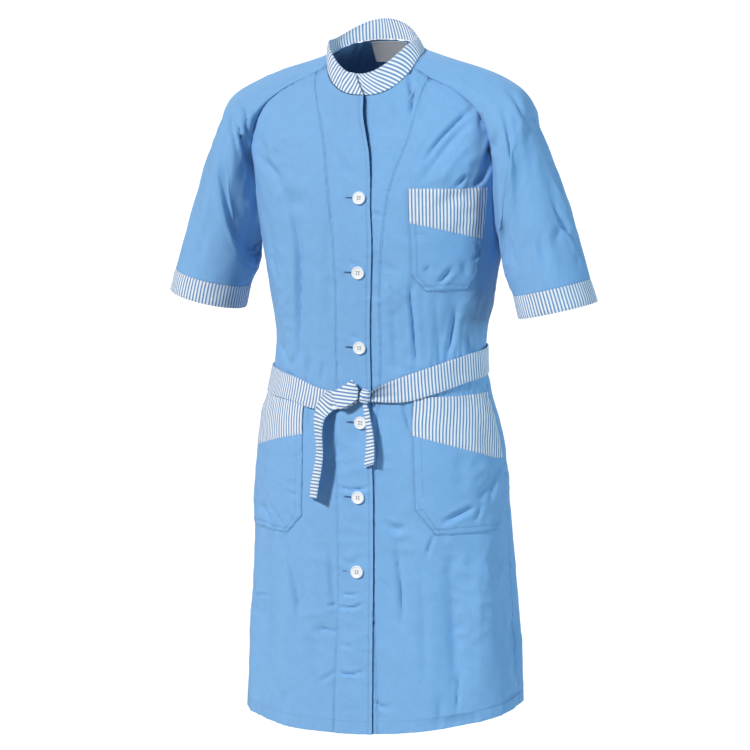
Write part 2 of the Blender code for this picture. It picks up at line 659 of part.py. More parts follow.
def outline_prism(name, outline, side, cutters):
    """Closed prism that cuts a pocket's outline, square to the pocket's own facing."""
    along, facing = pocket_facing(side)
    flat = np.array([r * along + np.array([0, 0, z]) for r, z in outline])
    points = np.concatenate([flat + 0.03 * facing, flat + 0.30 * facing])
    count = len(outline)
    sides = [(k, (k + 1) % count, (k + 1) % count + count, k + count) for k in range(count)]
    ends = [tuple(range(count))[::-1], tuple(range(count, 2 * count))]
    mesh = bpy.data.meshes.new(name)
    mesh.from_pydata(points.tolist(), [], ends + sides)
    shape = bmesh.new()
    shape.from_mesh(mesh)
    bmesh.ops.recalc_face_normals(shape, faces=shape.faces)
    shape.to_mesh(mesh)
    shape.free()
    prism = bpy.data.objects.new(name, mesh)
    prism.hide_render = True
    prism.display_type = "WIRE"
    cutters.objects.link(prism)
    return prism


def pocket(row, cloth_look, trim_look, group, cutters):
    """Patch pocket on its panel's own points, cut to outline, striped trim on top."""
    name, side, out_top, out_low, far, top, trim_near, trim_far, bottom, bevel_out, bevel_up = row
    along = pocket_facing(side)[0]

    def reach(angle, z):
        return float(coat(side * angle, level_at(side * angle, z)) @ along)

    def near(z):
        out = out_low + (out_top - out_low) * (z - bottom) / (top - bottom)
        return reach(angle_at(out, level_at(angle_at(out, z), z)), z)

    shoulder, gap = bottom + bevel_up, SEAM_GAP / 2
    below = [(near(trim_near), trim_near - gap), (near(shoulder), shoulder),
             (near(bottom) + bevel_out, bottom), (reach(far, bottom) - bevel_out, bottom),
             (reach(far, shoulder), shoulder), (reach(far, trim_far), trim_far - gap)]
    above = [(near(trim_near), trim_near + gap), (reach(far, trim_far), trim_far + gap),
             (reach(far, top), top), (near(top), top)]
    angle, level = panel_grid(side)
    beside = (level[:, 0] > bottom - 0.05) & (level[:, 0] < top + 0.08)
    for part, outline, look, thick in (("", below, cloth_look, CLOTH), ("_trim", above, trim_look, TRIM_CLOTH)):
        cloth = body_wall(name + part, angle[beside], level[beside], look, group, LAY_GAP + thick, thick)
        cut = cloth.modifiers.new("outline", "BOOLEAN")
        cut.operation = "INTERSECT"
        cut.solver = "EXACT"
        cut.object = outline_prism(name + part + "_outline", outline, side, cutters)


def belt(look, group):
    """Belt from one side of the knot right round to the other."""
    angle = np.concatenate([np.linspace(6.4, 40, 8), np.linspace(52, 300, 24), np.linspace(310, 360.2, 9)])[None, :]
    wide = np.array([-1.0, 0.0, 1.0])[:, None]
    level = curve(BELT, 1, angle) + curve(BELT, 2, angle) * wide
    angle = angle + 0 * wide
    body_wall("belt", angle, level, look, group, curve(BELT, 3, angle) + BELT_CLOTH, BELT_CLOTH)


def on_coat(x, z, out):
    """Point above the coat's front, `out` off its surface."""
    angle = angle_at(x, z)
    return coat(angle, z) + out[..., None] * coat_normal(angle, z)


def strip(name, edges, steps, look, group):
    """Strip of belt between two edges that run through a table's rows."""
    rows = np.column_stack([np.arange(len(edges)), np.asarray(edges, float)])
    at = np.linspace(0, len(edges) - 1, steps)
    a_x, a_z, a_out, b_x, b_z, b_out = (curve(rows, column, at)[None, :] for column in range(1, 7))
    share = np.linspace(0, 1, 4)[:, None]
    a, b = on_coat(a_x, a_z, a_out), on_coat(b_x, b_z, b_out)
    middle = a + (b - a) * share[..., None]
    along = np.gradient(middle, axis=1)
    normal = np.cross(np.broadcast_to(b - a, along.shape), along)
    normal /= np.linalg.norm(normal, axis=-1, keepdims=True)
    half = BELT_CLOTH / 2 * normal
    return wall(name, (middle + half)[::-1], (middle - half)[::-1], look, group)


def bow_loop(look, group):
    edges = [(ux, uz, out, lx, lz, out) for ux, uz, lx, lz, out in LOOP]
    strip("belt_loop", edges, 15, look, group)


def knot(look, group):
    """Rounded knot, pressed against the front band."""
    mesh = bpy.data.meshes.new("belt_knot")
    shape = bmesh.new()
    bmesh.ops.create_uvsphere(shape, u_segments=16, v_segments=10, radius=1.0)
    size = np.array([KNOT["half_wide"], KNOT["half_deep"], KNOT["half_high"]])
    for vert in shape.verts:
        co = np.array(vert.co)
        co = np.sign(co) * np.abs(co) ** 0.8
        vert.co = Vector(co * size * (1 + 0.05 * np.cos(5 * co[2] + 3 * co[0])))
    shape.to_mesh(mesh)
    shape.free()
    mesh.shade_smooth()
    made = add_object("belt_knot", mesh, look, group)
    place = on_coat(np.array(KNOT["x"]), np.array(KNOT["z"]), np.array(KNOT["out"]))
    made.matrix_world = Matrix.Translation(Vector(place)) @ Matrix.Rotation(math.radians(KNOT["turn"]), 4, "Y")


def button_mesh(cutters):
    """Four-hole shirt button: a disc with a raised rim, holes cut through."""
    shape = bmesh.new()
    turn = [(0, 0), (BUTTON_RADIUS - 0.0006, 0), (BUTTON_RADIUS, 0.0015), (BUTTON_RADIUS - 0.0008, BUTTON_THICK),
            (BUTTON_RADIUS - 0.0024, BUTTON_THICK), (BUTTON_RADIUS - 0.0034, BUTTON_THICK - 0.0009),
            (0, BUTTON_THICK - 0.0009)]
    verts = [shape.verts.new((r, 0, z)) for r, z in turn]
    edges = [shape.edges.new(pair) for pair in zip(verts[:-1], verts[1:])]
    bmesh.ops.spin(shape, geom=verts + edges, cent=(0, 0, 0), axis=(0, 0, 1),
                   angle=2 * math.pi, steps=18, use_merge=True)
    bmesh.ops.remove_doubles(shape, verts=shape.verts, dist=0.00001)
    bmesh.ops.recalc_face_normals(shape, faces=shape.faces)
    disc_mesh = bpy.data.meshes.new("button_disc")
    shape.to_mesh(disc_mesh)
    shape.free()
    pins = bmesh.new()
    for quarter in range(4):
        turned = math.radians(45 + 90 * quarter)
        place = Matrix.Translation((BUTTON_HOLE_OUT * math.cos(turned), BUTTON_HOLE_OUT * math.sin(turned),
                                    BUTTON_THICK / 2))
        bmesh.ops.create_cone(pins, cap_ends=True, segments=6, radius1=BUTTON_HOLE, radius2=BUTTON_HOLE,
                              depth=3 * BUTTON_THICK, matrix=place)
    pin_mesh = bpy.data.meshes.new("button_holes")
    pins.to_mesh(pin_mesh)
    pins.free()
    disc = bpy.data.objects.new("button_disc", disc_mesh)
    holes = bpy.data.objects.new("button_holes", pin_mesh)
    for guide in (disc, holes):
        guide.hide_render = True
        guide.display_type = "WIRE"
        cutters.objects.link(guide)
    cut = disc.modifiers.new("holes", "BOOLEAN")
    cut.operation = "DIFFERENCE"
    cut.solver = "EXACT"
    cut.object = holes
    bpy.context.view_layer.update()
    done = bpy.data.meshes.new_from_object(disc.evaluated_get(bpy.context.evaluated_depsgraph_get()))
    done.set_sharp_from_angle(angle=math.radians(35))
    return done


def buttons(look, group, cutters):
    """Buttons down the centre front, seated on the upper band."""
    mesh = button_mesh(cutters)
    mesh.materials.append(look)
    for count, (x, z) in enumerate(BUTTONS):
        level = level_at(np.array(0.0), np.array(z))
        angle = angle_at(x, level)
        normal = Vector(coat_normal(angle, level))
        out = front_lift(angle, level) + LAY_GAP
        place = Vector(coat(angle, level)) + normal * float(out)
        made = bpy.data.objects.new(f"button_{count + 1}", mesh)
        group.objects.link(made)
        made.matrix_world = Matrix.Translation(place) @ normal.to_track_quat("Z", "Y").to_matrix().to_4x4()


def build():
    for old in list(bpy.data.objects):
        bpy.data.objects.remove(old, do_unlink=True)
    group, cutters = collection("work_coat"), collection("cutters")
    blue = material("blue_cloth", BLUE, 0.85)
    striped = material("striped_cloth", STRIPE_MEAN, 0.85)
    white = material("white_plastic", WHITE, 0.30)
    tape = material("white_tape", WHITE, 0.80)
    for side, word in ((-1, "right"), (1, "left")):
        front_band(f"front_band_{word}", side, blue, group)
        front_panel(f"front_{word}", side, blue, group)
        sleeve_halves(side, word, blue, group)
        cuff(side, word, striped, group)
    back_panel(blue, group)
    collar(striped, group)
    label(tape, group)
    for row in POCKETS:
        pocket(row, blue, striped, group, cutters)
    belt(striped, group)
    bow_loop(striped, group)
    strip("belt_tail_right", TAIL_RIGHT, 20, striped, group)
    strip("belt_tail_left", TAIL_LEFT, 10, striped, group)
    knot(striped, group)
    buttons(white, group, cutters)


build()
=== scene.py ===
# Looks of a light blue work coat: short raglan sleeves, striped collar, cuffs,
# pocket tops and tie belt. Metres, +Z up; it faces -Y and keeps its worn form.
import math

import bpy
import numpy as np
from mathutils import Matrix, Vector


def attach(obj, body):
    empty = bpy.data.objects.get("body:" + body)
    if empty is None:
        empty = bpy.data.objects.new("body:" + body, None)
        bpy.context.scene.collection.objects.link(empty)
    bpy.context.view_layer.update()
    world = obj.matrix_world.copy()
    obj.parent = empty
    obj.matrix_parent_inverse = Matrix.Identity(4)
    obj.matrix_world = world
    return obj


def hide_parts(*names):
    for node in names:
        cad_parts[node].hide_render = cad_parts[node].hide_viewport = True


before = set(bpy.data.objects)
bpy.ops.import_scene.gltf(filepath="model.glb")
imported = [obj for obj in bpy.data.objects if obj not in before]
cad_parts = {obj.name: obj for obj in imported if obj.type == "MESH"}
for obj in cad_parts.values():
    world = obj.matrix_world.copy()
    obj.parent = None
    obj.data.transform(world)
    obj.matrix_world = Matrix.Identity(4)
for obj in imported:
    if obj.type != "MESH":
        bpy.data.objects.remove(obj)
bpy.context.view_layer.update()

# Plain form of the body, its seams and its largest folds
bodyForm = {
    "hem": -0.930,
    "underarm": -0.255,
    "seamLevel": 0.0,
    "lapStart": 0.0212,  # where the upper band leaves the lower one
    "underlap": 0.0200,
    "bandLift": 0.0025,
    "gape": 0.0050,  # how far the open top of the upper band stands off
    "cloth": 0.0008,
    "rowStep": 0.0031,
    "metresPerDegree": 0.0028,  # of the flat chart in which folds are placed
    "rings": (
        # level, zFront, zSide, zBack, halfWidth, yFront, yBack, lean, square, tilt, bend
        (-0.930, -0.9480, -0.932, -0.940, 0.2092, -0.130, 0.142, -0.0010, 2.15, 0.0110, 2.00),
        (-0.854, -0.854, -0.854, -0.854, 0.2060, -0.129, 0.137, -0.0010, 2.15, 0.0040, 2.00),
        (-0.746, -0.746, -0.746, -0.746, 0.1990, -0.127, 0.129, -0.0015, 2.15, 0.0000, 2.00),
        (-0.640, -0.640, -0.640, -0.640, 0.1912, -0.125, 0.121, -0.0025, 2.15, 0.0000, 2.00),
        (-0.533, -0.533, -0.533, -0.533, 0.1808, -0.122, 0.113, -0.0025, 2.15, 0.0000, 2.00),
        (-0.500, -0.500, -0.500, -0.500, 0.1745, -0.119, 0.108, -0.0035, 2.15, 0.0000, 2.00),
        (-0.465, -0.465, -0.465, -0.465, 0.1620, -0.116, 0.102, -0.0015, 2.15, 0.0000, 2.00),
        (-0.425, -0.425, -0.425, -0.425, 0.1550, -0.115, 0.098, -0.0010, 2.15, 0.0000, 2.00),
        (-0.380, -0.380, -0.380, -0.380, 0.1550, -0.117, 0.100, -0.0010, 2.15, 0.0000, 2.00),
        (-0.330, -0.330, -0.330, -0.330, 0.1640, -0.120, 0.108, -0.0010, 2.15, 0.0000, 2.00),
        (-0.290, -0.290, -0.290, -0.290, 0.1705, -0.122, 0.115, -0.0015, 2.15, 0.0000, 2.00),
        (-0.255, -0.258, -0.255, -0.255, 0.1755, -0.123, 0.119, -0.0020, 2.15, 0.0000, 2.00),
        (-0.190, -0.205, -0.175, -0.200, 0.1860, -0.121, 0.121, -0.0040, 2.20, 0.0000, 2.00),
        (-0.125, -0.155, -0.092, -0.135, 0.1900, -0.115, 0.118, -0.0050, 2.30, 0.0000, 2.00),
        (-0.070, -0.110, -0.034, -0.070, 0.1700, -0.106, 0.104, -0.0050, 2.30, 0.0000, 2.00),
        (-0.030, -0.070, 0.001, -0.010, 0.1200, -0.097, 0.075, -0.0050, 2.20, 0.0000, 1.70),
        (0.000, -0.040, 0.016, 0.036, 0.0685, -0.092, 0.036, -0.0035, 2.35, 0.0000, 1.20),
    ),
    "armhole": (
        # level, frontAngle, backAngle
        (-0.255, 90.0, 90.0),
        (-0.235, 79.0, 101.0),
        (-0.200, 73.0, 107.0),
        (-0.150, 68.5, 111.5),
        (-0.110, 65.0, 115.0),
        (-0.080, 62.0, 118.0),
        (-0.058, 60.5, 119.0),
        (-0.037, 59.5, 120.5),
        (-0.018, 61.0, 121.0),
        (0.000, 69.0, 119.0),
    ),
    "bandSeam": (
        # level, outLeft, outRight
        (-0.930, 0.0340, 0.0340),
        (-0.850, 0.0310, 0.0310),
        (-0.720, 0.0268, 0.0268),
        (-0.620, 0.0278, 0.0278),
        (-0.500, 0.0310, 0.0310),
        (-0.400, 0.0338, 0.0338),
        (-0.300, 0.0345, 0.0335),
        (-0.256, 0.0372, 0.0350),
        (-0.200, 0.0432, 0.0376),
        (-0.143, 0.0510, 0.0430),
        (-0.105, 0.0598, 0.0475),
        (-0.068, 0.0728, 0.0530),
        (-0.042, 0.0797, 0.0618),
        (-0.027, 0.0842, 0.0695),
        (-0.014, 0.0905, 0.0775),
    ),
    "openEdge": (
        # level, out
        (-0.930, 0.0252),
        (-0.800, 0.0255),
        (-0.700, 0.0264),
        (-0.610, 0.0262),
        (-0.530, 0.0232),
        (-0.470, 0.0200),
        (-0.420, 0.0183),
        (-0.360, 0.0183),
        (-0.300, 0.0208),
        (-0.230, 0.0238),
        (-0.180, 0.0228),
        (-0.110, 0.0215),
        (-0.079, 0.0185),
        (-0.052, 0.0125),
        (-0.027, 0.0070),
        (0.000, 0.0045),
    ),
    "folds": (
        # angleA, levelA, angleB, levelB, rise, width
        (57, -0.075, 30, -0.105, -0.0035, 0.011),
        (64, -0.165, 33, -0.190, -0.0030, 0.013),
        (60, -0.130, 38, -0.148, 0.0030, 0.014),
        (-54, -0.125, -30, -0.182, -0.0040, 0.013),
        (-27, -0.190, -33, -0.372, -0.0030, 0.015),
        (-58, -0.230, -48, -0.410, 0.0035, 0.019),
        (52, -0.300, 47, -0.415, -0.0035, 0.015),
        (24, -0.340, 22, -0.415, -0.0025, 0.013),
        (17, -0.500, 16, -0.800, -0.0035, 0.021),
        (40, -0.700, 41, -0.930, -0.0050, 0.024),
        (63, -0.680, 61, -0.930, 0.0045, 0.026),
        (84, -0.650, 88, -0.930, -0.0055, 0.023),
        (-48, -0.690, -51, -0.930, -0.0050, 0.025),
        (-30, -0.730, -28, -0.930, 0.0030, 0.024),
        (-76, -0.660, -79, -0.930, -0.0050, 0.023),
        (118, -0.110, 152, -0.175, -0.0040, 0.014),
        (-118, -0.120, -150, -0.190, -0.0040, 0.014),
        (150, -0.290, 156, -0.420, -0.0040, 0.018),
        (-148, -0.280, -155, -0.420, -0.0040, 0.018),
        (181, -0.330, 178, -0.430, -0.0040, 0.018),
        (163, -0.500, 168, -0.930, -0.0055, 0.030),
        (-166, -0.520, -170, -0.930, -0.0050, 0.030),
        (128, -0.540, 124, -0.930, -0.0050, 0.027),
        (-130, -0.560, -126, -0.930, -0.0050, 0.027),
    ),
    "creases": (
        # angleA, levelA, angleB, levelB, rise, width
        (-112, -0.300, -118, -0.410, -0.0020, 0.006),
        (112, -0.290, 120, -0.405, -0.0020, 0.006),
        (140, -0.200, 118, -0.330, -0.0018, 0.007),
        (-138, -0.190, -120, -0.320, -0.0018, 0.007),
        (168, -0.345, 170, -0.425, -0.0018, 0.005),
        (-171, -0.340, -173, -0.425, -0.0018, 0.005),
        (145, -0.470, 141, -0.600, -0.0022, 0.007),
        (-144, -0.470, -140, -0.610, -0.0022, 0.007),
        (104, -0.480, 108, -0.640, -0.0022, 0.007),
        (-103, -0.480, -107, -0.650, -0.0022, 0.007),
        (180, -0.050, 172, -0.130, -0.0014, 0.006),
        (112, -0.700, 110, -0.920, -0.0018, 0.010),
        (-113, -0.720, -112, -0.920, -0.0018, 0.010),
    ),
}

# Small unevenness of worn cloth: how high each kind stands, its size and where it shows
reliefForm = {
    "beltWaves": {"rise": 0.0016, "level": -0.440, "reach": 0.050},
    "gathers": {"rise": 0.0009, "size": 0.070, "level": -0.430, "reach": 0.060},
    "hanging": {"rise": 0.0007, "size": 0.075, "start": -0.50, "full": -0.85},
    "soft": {"rise": 0.00030, "size": 0.050, "fineSize": 0.021},
    "crumples": {"rise": 0.0024, "size": 0.085, "fineSize": 0.040, "patchSize": 0.160},
    "sleeveSoft": {"rise": 0.00035, "size": 0.045, "fineRise": 0.00018, "fineSize": 0.019},
    "sleeveCrumples": {"rise": 0.0020, "patchSize": 0.140},
}

sleeveForm = {
    "rows": (
        # topX, topZ, underX, underZ, midY, halfDepth, lean
        (0.2060, -0.0370, 0.1920, -0.2600, -0.004, 0.0780, -0.0045),
        (0.2330, -0.0780, 0.1900, -0.2740, -0.008, 0.0720, -0.0060),
        (0.2560, -0.1360, 0.1880, -0.2850, -0.012, 0.0670, -0.0030),
        (0.2820, -0.2080, 0.1900, -0.2970, -0.016, 0.0635, -0.0010),
        (0.3090, -0.2950, 0.2010, -0.3210, -0.020, 0.0610, -0.0005),
        (0.3185, -0.3270, 0.2085, -0.3530, -0.022, 0.0600, 0.0010),
    ),
    "folds": (
        # side, aroundA, ringA, aroundB, ringB, rise, width
        (1, 0.42, 1.0, 0.34, 2.6, -0.0035, 0.010),
        (1, 0.33, 0.9, 0.27, 2.4, -0.0040, 0.010),
        (1, 0.20, 1.2, 0.13, 2.6, -0.0050, 0.011),
        (1, 0.44, 2.6, 0.47, 4.7, -0.0030, 0.010),
        (1, 0.70, 1.2, 0.82, 2.8, -0.0045, 0.012),
        (1, 0.62, 2.0, 0.66, 4.0, -0.0030, 0.012),
        (-1, 0.40, 0.9, 0.22, 2.8, -0.0050, 0.010),
        (-1, 0.30, 1.6, 0.16, 3.2, -0.0045, 0.011),
        (-1, 0.36, 2.2, 0.30, 3.8, -0.0030, 0.012),
        (-1, 0.44, 2.0, 0.48, 4.7, -0.0030, 0.010),
        (-1, 0.70, 1.2, 0.84, 2.8, -0.0045, 0.012),
        (-1, 0.62, 2.2, 0.60, 4.0, -0.0030, 0.012),
    ),
    "cuffRing": 5.0,
    "lastRing": 6.0,
    "girth": 0.38,
    "ringStep": 0.055,
    "rowStep": 0.0030,
    "cuffWidth": 0.033,
    "cuffOut": 0.0006,
    "cuffThick": 0.0014,
    "rise": {1: 0.0110, -1: 0.0030},  # arch over the shoulder, left and right
    "archEnd": 1.3,
    "archSpread": 0.13,
    "neckFront": 0.43,
    "neckBack": 0.57,
}

# Creases of the side that faces the front, in millimetres right and up of the middle as they
# look from one place. The camera has values of its own, and moving it leaves the coat alone.
creaseForm = {
    "azimuth": 18.0,
    "elevation": 8.0,
    "distance": 4.0,
    "middle": (-0.01241, -0.00403, -0.4467),
    "depth": 0.0020,  # metres for a rise of 1
    "sharpness": 1.45,
    "lip": 0.28,  # share of the rise that stands up beside a crease
    "rows": (
        # rise, width, places it passes
        (-1.6, 5, (-170, 319), (-152, 300), (-132, 280)),
        (-3, 4.5, (-122, 249), (-116, 222), (-110, 181), (-109, 109), (-109, 44), (-110, 4)),
        (-1.4, 5, (-59, 326), (-44, 306), (-26, 283)),
        (-2.2, 3, (-136, 44), (-129, 28), (-123, 12)),
        (-1.4, 2.6, (-119, 33), (-117, 10)),
        (-1.4, 3, (-94, 25), (-93, -3)),
        (-1, 3, (-75, 19), (-77, -10)),
        (-1.3, 2.4, (-35, 59), (-23, 52)),
        (-1, 2.4, (-36, 165), (-26, 158)),
        (-1.4, 6, (-164, 254), (-152, 196), (-144, 109), (-138, 51)),
        (-0.8, 7, (-65, 254), (-68, 167), (-64, 65)),
        (-1.5, 4, (14, 399), (22, 387), (30, 370), (35, 352)),
        (-3.2, 3.6, (52, 439), (52, 416), (55, 399), (52, 373)),
        (-2.4, 3.6, (145, 390), (117, 364), (90, 335), (74, 312)),
        (-1.8, 6, (144, 373), (109, 336), (83, 303), (67, 281)),
        (1.2, 6, (149, 348), (116, 312), (91, 280)),
        (-2.4, 3.2, (132, 289), (117, 273)),
        (-3, 4, (160, 294), (144, 273)),
        (-3.2, 4, (55, 138), (52, 115), (55, 80), (58, 44), (62, 6)),
        (-1.5, 2.6, (19, 132), (30, 112)),
        (-1.5, 5, (26, 97), (29, 44), (33, 6)),
        (-2.6, 4, (117, 97), (113, 65), (106, 25)),
        (-2, 4, (132, 59), (138, 36), (149, 42)),
        (-1.2, 6, (88, 120), (91, 65), (94, 19)),
        (-2, 4, (158, 109), (152, 65), (158, 33)),
        (-1, 4, (-4, 236), (9, 229)),
        (-1.4, 3, (80, 428), (102, 442)),
        (-1.6, 3, (94, 422), (120, 438)),
        (-1.2, 3, (128, 434), (141, 422)),
        (-0.9, 7, (36, 341), (33, 283), (42, 254)),
        (-2.6, 3.2, (-193, 402), (-187, 370), (-183, 326)),
        (-3.8, 4, (-206, 384), (-196, 352), (-186, 326), (-178, 290), (-171, 261)),
        (-2.4, 3.2, (-210, 381), (-207, 355), (-199, 323)),
        (-2.4, 9, (-213, 307), (-204, 254), (-203, 196)),
        (-1.8, 6, (-233, 326), (-254, 268), (-268, 203)),
        (-1.5, 7, (-181, 232), (-187, 188), (-191, 158)),
        (1.2, 8, (-187, 268), (-181, 225), (-184, 181)),
        (-1.5, 2.4, (-126, 432), (-120, 420)),
        (-1.4, 3, (-155, 425), (-144, 412)),
        (-1, 2.4, (-94, 438), (-88, 431)),
        (-1, 2.6, (-181, 387), (-173, 374)),
        (-1.2, 6, (-246, 218), (-257, 164)),
        (-2.8, 4, (193, 413), (206, 396), (221, 367)),
        (-2.6, 3.6, (187, 384), (194, 348), (199, 315)),
        (-3.8, 4.5, (181, 354), (170, 331), (162, 304), (155, 286)),
        (-1.6, 4, (158, 393), (155, 376), (154, 358)),
        (-3, 3, (258, 251), (271, 225), (290, 199), (303, 170)),
        (-1.8, 7, (274, 220), (262, 196)),
        (-1.6, 4, (252, 323), (265, 294), (278, 254)),
        (-1.4, 11, (210, 326), (219, 254)),
        (-2, 7, (187, 219), (194, 184), (203, 158)),
        (-1.5, 6, (239, 199), (248, 158)),
        (-1.2, 5, (294, 184), (296, 155)),
        (1.2, 10, (225, 355), (239, 283), (251, 210)),
        (-1.4, 8, (204, 283), (210, 225), (222, 164)),
        (-2.6, 4, (-132, -236), (-125, -261), (-119, -290), (-113, -326), (-110, -358)),
        (-1.4, 5, (-96, -384), (-86, -407), (-77, -428)),
        (-1.2, 2.4, (-129, -155), (-110, -158)),
        (-1.2, 2.4, (-128, -170), (-110, -175)),
        (-1.2, 2.4, (-123, -115), (-110, -126)),
        (-2.6, 3.6, (-164, -186), (-157, -203), (-152, -216)),
        (-2.6, 3.4, (-149, -190), (-136, -218)),
        (-1.8, 3, (-132, -191), (-123, -213)),
        (-1.4, 2.4, (-49, -318), (-23, -318)),
        (-2.2, 2.4, (-68, -335), (-55, -333)),
        (-2.2, 2.4, (-51, -336), (-33, -338), (-17, -332)),
        (-1.6, 2.4, (-81, -368), (-57, -374)),
        (-1, 3, (-49, -389), (-33, -396)),
        (-1.6, 2.6, (-80, -444), (-64, -435), (-55, -431)),
        (-2.4, 2.4, (-51, -432), (-33, -434), (-14, -429)),
        (-1, 2.4, (-45, -486), (-25, -484)),
        (-2, 2.4, (-52, -162), (-33, -167), (-9, -163)),
        (-1.2, 4, (-49, -265), (-33, -274), (-25, -262)),
        (-1.8, 4.5, (13, -212), (30, -223), (44, -220)),
        (-2, 2.8, (-1, -474), (13, -483), (22, -480)),
        (-1.2, 2.4, (10, -296), (23, -316)),
        (-2.4, 5, (30, -244), (35, -283), (39, -326), (39, -367)),
        (-1.8, 3, (86, -233), (80, -246), (75, -264)),
        (-2, 9, (109, -254), (112, -326), (117, -399), (122, -478)),
        (-1.4, 2.4, (122, -434), (119, -490)),
        (-3.2, 5, (203, -349), (199, -384), (204, -413), (202, -439)),
        (-2.2, 4, (207, -455), (193, -468)),
        (-2.2, 5, (178, -132), (164, -161), (149, -184)),
        (-2.8, 4, (144, -191), (120, -203), (99, -215)),
        (-2.2, 3.5, (174, -149), (165, -184)),
        (-1.8, 3, (154, -186), (145, -212)),
        (-2.2, 3.2, (38, -39), (44, -58), (51, -83)),
        (-1.4, 3, (-97, -77), (-93, -42)),
        (-1.2, 2.4, (-174, -319), (-155, -320)),
        (-1.6, 11, (181, -268), (186, -355), (178, -457)),
        (1.4, 11, (149, -268), (152, -355), (149, -457)),
        (-1.4, 9, (-152, -268), (-158, -355), (-164, -457)),
        (1, 9, (-91, -239), (-88, -312), (-91, -384)),
        (-1.2, 7, (65, -268), (71, -355), (74, -457)),
        (-1.6, 5, (-65, -239), (-62, -297), (-57, -355)),
        (-1.2, 3, (58, 203), (74, 201)),
        (-1.6, 2.6, (70, 151), (78, 156)),
        (-2.8, 3.6, (110, 154), (102, 144), (93, 133)),
        (-1.6, 3, (147, 191), (151, 178), (141, 167)),
        (-1, 2.4, (77, 161), (75, 141)),
        (-1.6, 5, (126, 164), (132, 144)),
        (-1.4, 6, (-132, -457), (-133, -493)),
        (-1.4, 6, (94, -468), (96, -503)),
    ),
}


def curve(table, column, at):
    # Smooth run through one column of a table: cubic pieces with the slopes at its rows.
    rows = np.asarray(table, float)
    knots, values = rows[:, 0], rows[:, column]
    slopes = np.gradient(values, knots)
    at = np.clip(np.asarray(at, float), knots[0], knots[-1])
    row = np.clip(np.searchsorted(knots, at, "right") - 1, 0, len(knots) - 2)
    step = knots[row + 1] - knots[row]
    u = (at - knots[row]) / step
    ends = (2 * u**3 - 3 * u**2 + 1) * values[row] + (3 * u**2 - 2 * u**3) * values[row + 1]
    return ends + step * ((u**3 - 2 * u**2 + u) * slopes[row] + (u**3 - u**2) * slopes[row + 1])


def soften(value, start, end):
    # 0 at start, 1 at end: three times the square less twice the cube of the share between.
    u = np.clip((np.asarray(value, float) - start) / (end - start), 0, 1)
    return u * u * (3 - 2 * u)


def ripple(p, q, size, seed):
    # Uneven waves of about this size in both directions: the mean of seven sines whose
    # headings turn by the golden angle and whose lengths differ by up to a half.
    total = np.zeros(np.broadcast(p, q).shape)
    for wave in range(7):
        heading = 2.39996 * wave + seed
        length = size * (0.75 + 0.5 * ((wave * 0.618 + seed * 0.37) % 1.0))
        phase = 6.2832 * ((wave * 0.7549 + seed * 0.569) % 1.0)
        total = total + np.sin(6.2832 * (p * math.cos(heading) + q * math.sin(heading)) / length + phase)
    return total / 3.2


def oval(angle, zFront, zSide, zBack, halfWidth, yFront, yBack, lean, square, tilt, bend):
    # Superellipse ring: x is the half width by the sine, y the half depth by the cosine, each
    # to the power 2/square, and z runs from side to front or back by the cosine to bend.
    c, s = np.cos(np.radians(angle)), np.sin(np.radians(angle))
    middle, halfDepth = (yFront + yBack) / 2, (yBack - yFront) / 2
    x = halfWidth * np.sign(s) * np.abs(s) ** (2 / square) + lean
    y = middle - halfDepth * np.sign(c) * np.abs(c) ** (2 / square)
    share = np.abs(c) ** bend
    z = zSide * (1 - share) + np.where(c > 0, zFront, zBack) * share + tilt * s
    return np.stack([x, y, z], -1)


def body(angle, level):
    # Plain body: the ring of this level, every column of the table read as a smooth run.
    angle, level = np.broadcast_arrays(np.asarray(angle, float), np.asarray(level, float))
    return oval(angle, *(curve(bodyForm["rings"], column, level) for column in range(1, 11)))


def normals(surface, u, v, du, dv):
    # Unit cross product of the surface's small steps along u and along v.
    across = surface(u + du, v) - surface(u - du, v)
    along = surface(u, v + dv) - surface(u, v - dv)
    n = np.cross(across, along)
    return n / np.linalg.norm(n, axis=-1, keepdims=True)


def lineFold(p, q, a, b, rise, width):
    # Bell curve of the distance from the line a-b, weaker towards both of its ends.
    a, b = np.array(a), np.array(b)
    run = b - a
    length = np.hypot(*run)
    along = ((p - a[0]) * run[0] + (q - a[1]) * run[1]) / length**2
    off = np.hypot(p - a[0] - np.clip(along, 0, 1) * run[0], q - a[1] - np.clip(along, 0, 1) * run[1])
    return rise * np.exp(-((off / width) ** 2)) * (0.45 + 0.55 * np.sin(np.pi * np.clip(along, 0, 1)))


def bodyFolds(angle, level, rows):
    # Sum of the line folds of a table, in a flat chart of angle and level.
    turn = (angle + 180) % 360 - 180
    metresPerDegree = bodyForm["metresPerDegree"]
    total = np.zeros(np.broadcast(angle, level).shape)
    for angleA, levelA, angleB, levelB, rise, width in rows:
        middle = (angleA + angleB) / 2
        near = (turn - middle + 180) % 360 - 180 + middle
        total = total + lineFold(near * metresPerDegree, level, (angleA * metresPerDegree, levelA),
                                 (angleB * metresPerDegree, levelB), rise, width)
    return total


def bodyRelief(angle, level):
    # Largest folds, and waves of nine and five a turn in a bell round the waist.
    form = reliefForm["beltWaves"]
    turn = (angle + 180) % 360 - 180
    waves = np.cos(np.radians(9 * turn)) + 0.5 * np.cos(np.radians(5 * turn + 40))
    waist = np.exp(-(((level - form["level"]) / form["reach"]) ** 2))
    beltWaves = form["rise"] * waves * waist * soften(np.abs(turn), 14, 40)
    return bodyFolds(angle, level, bodyForm["folds"]) + beltWaves


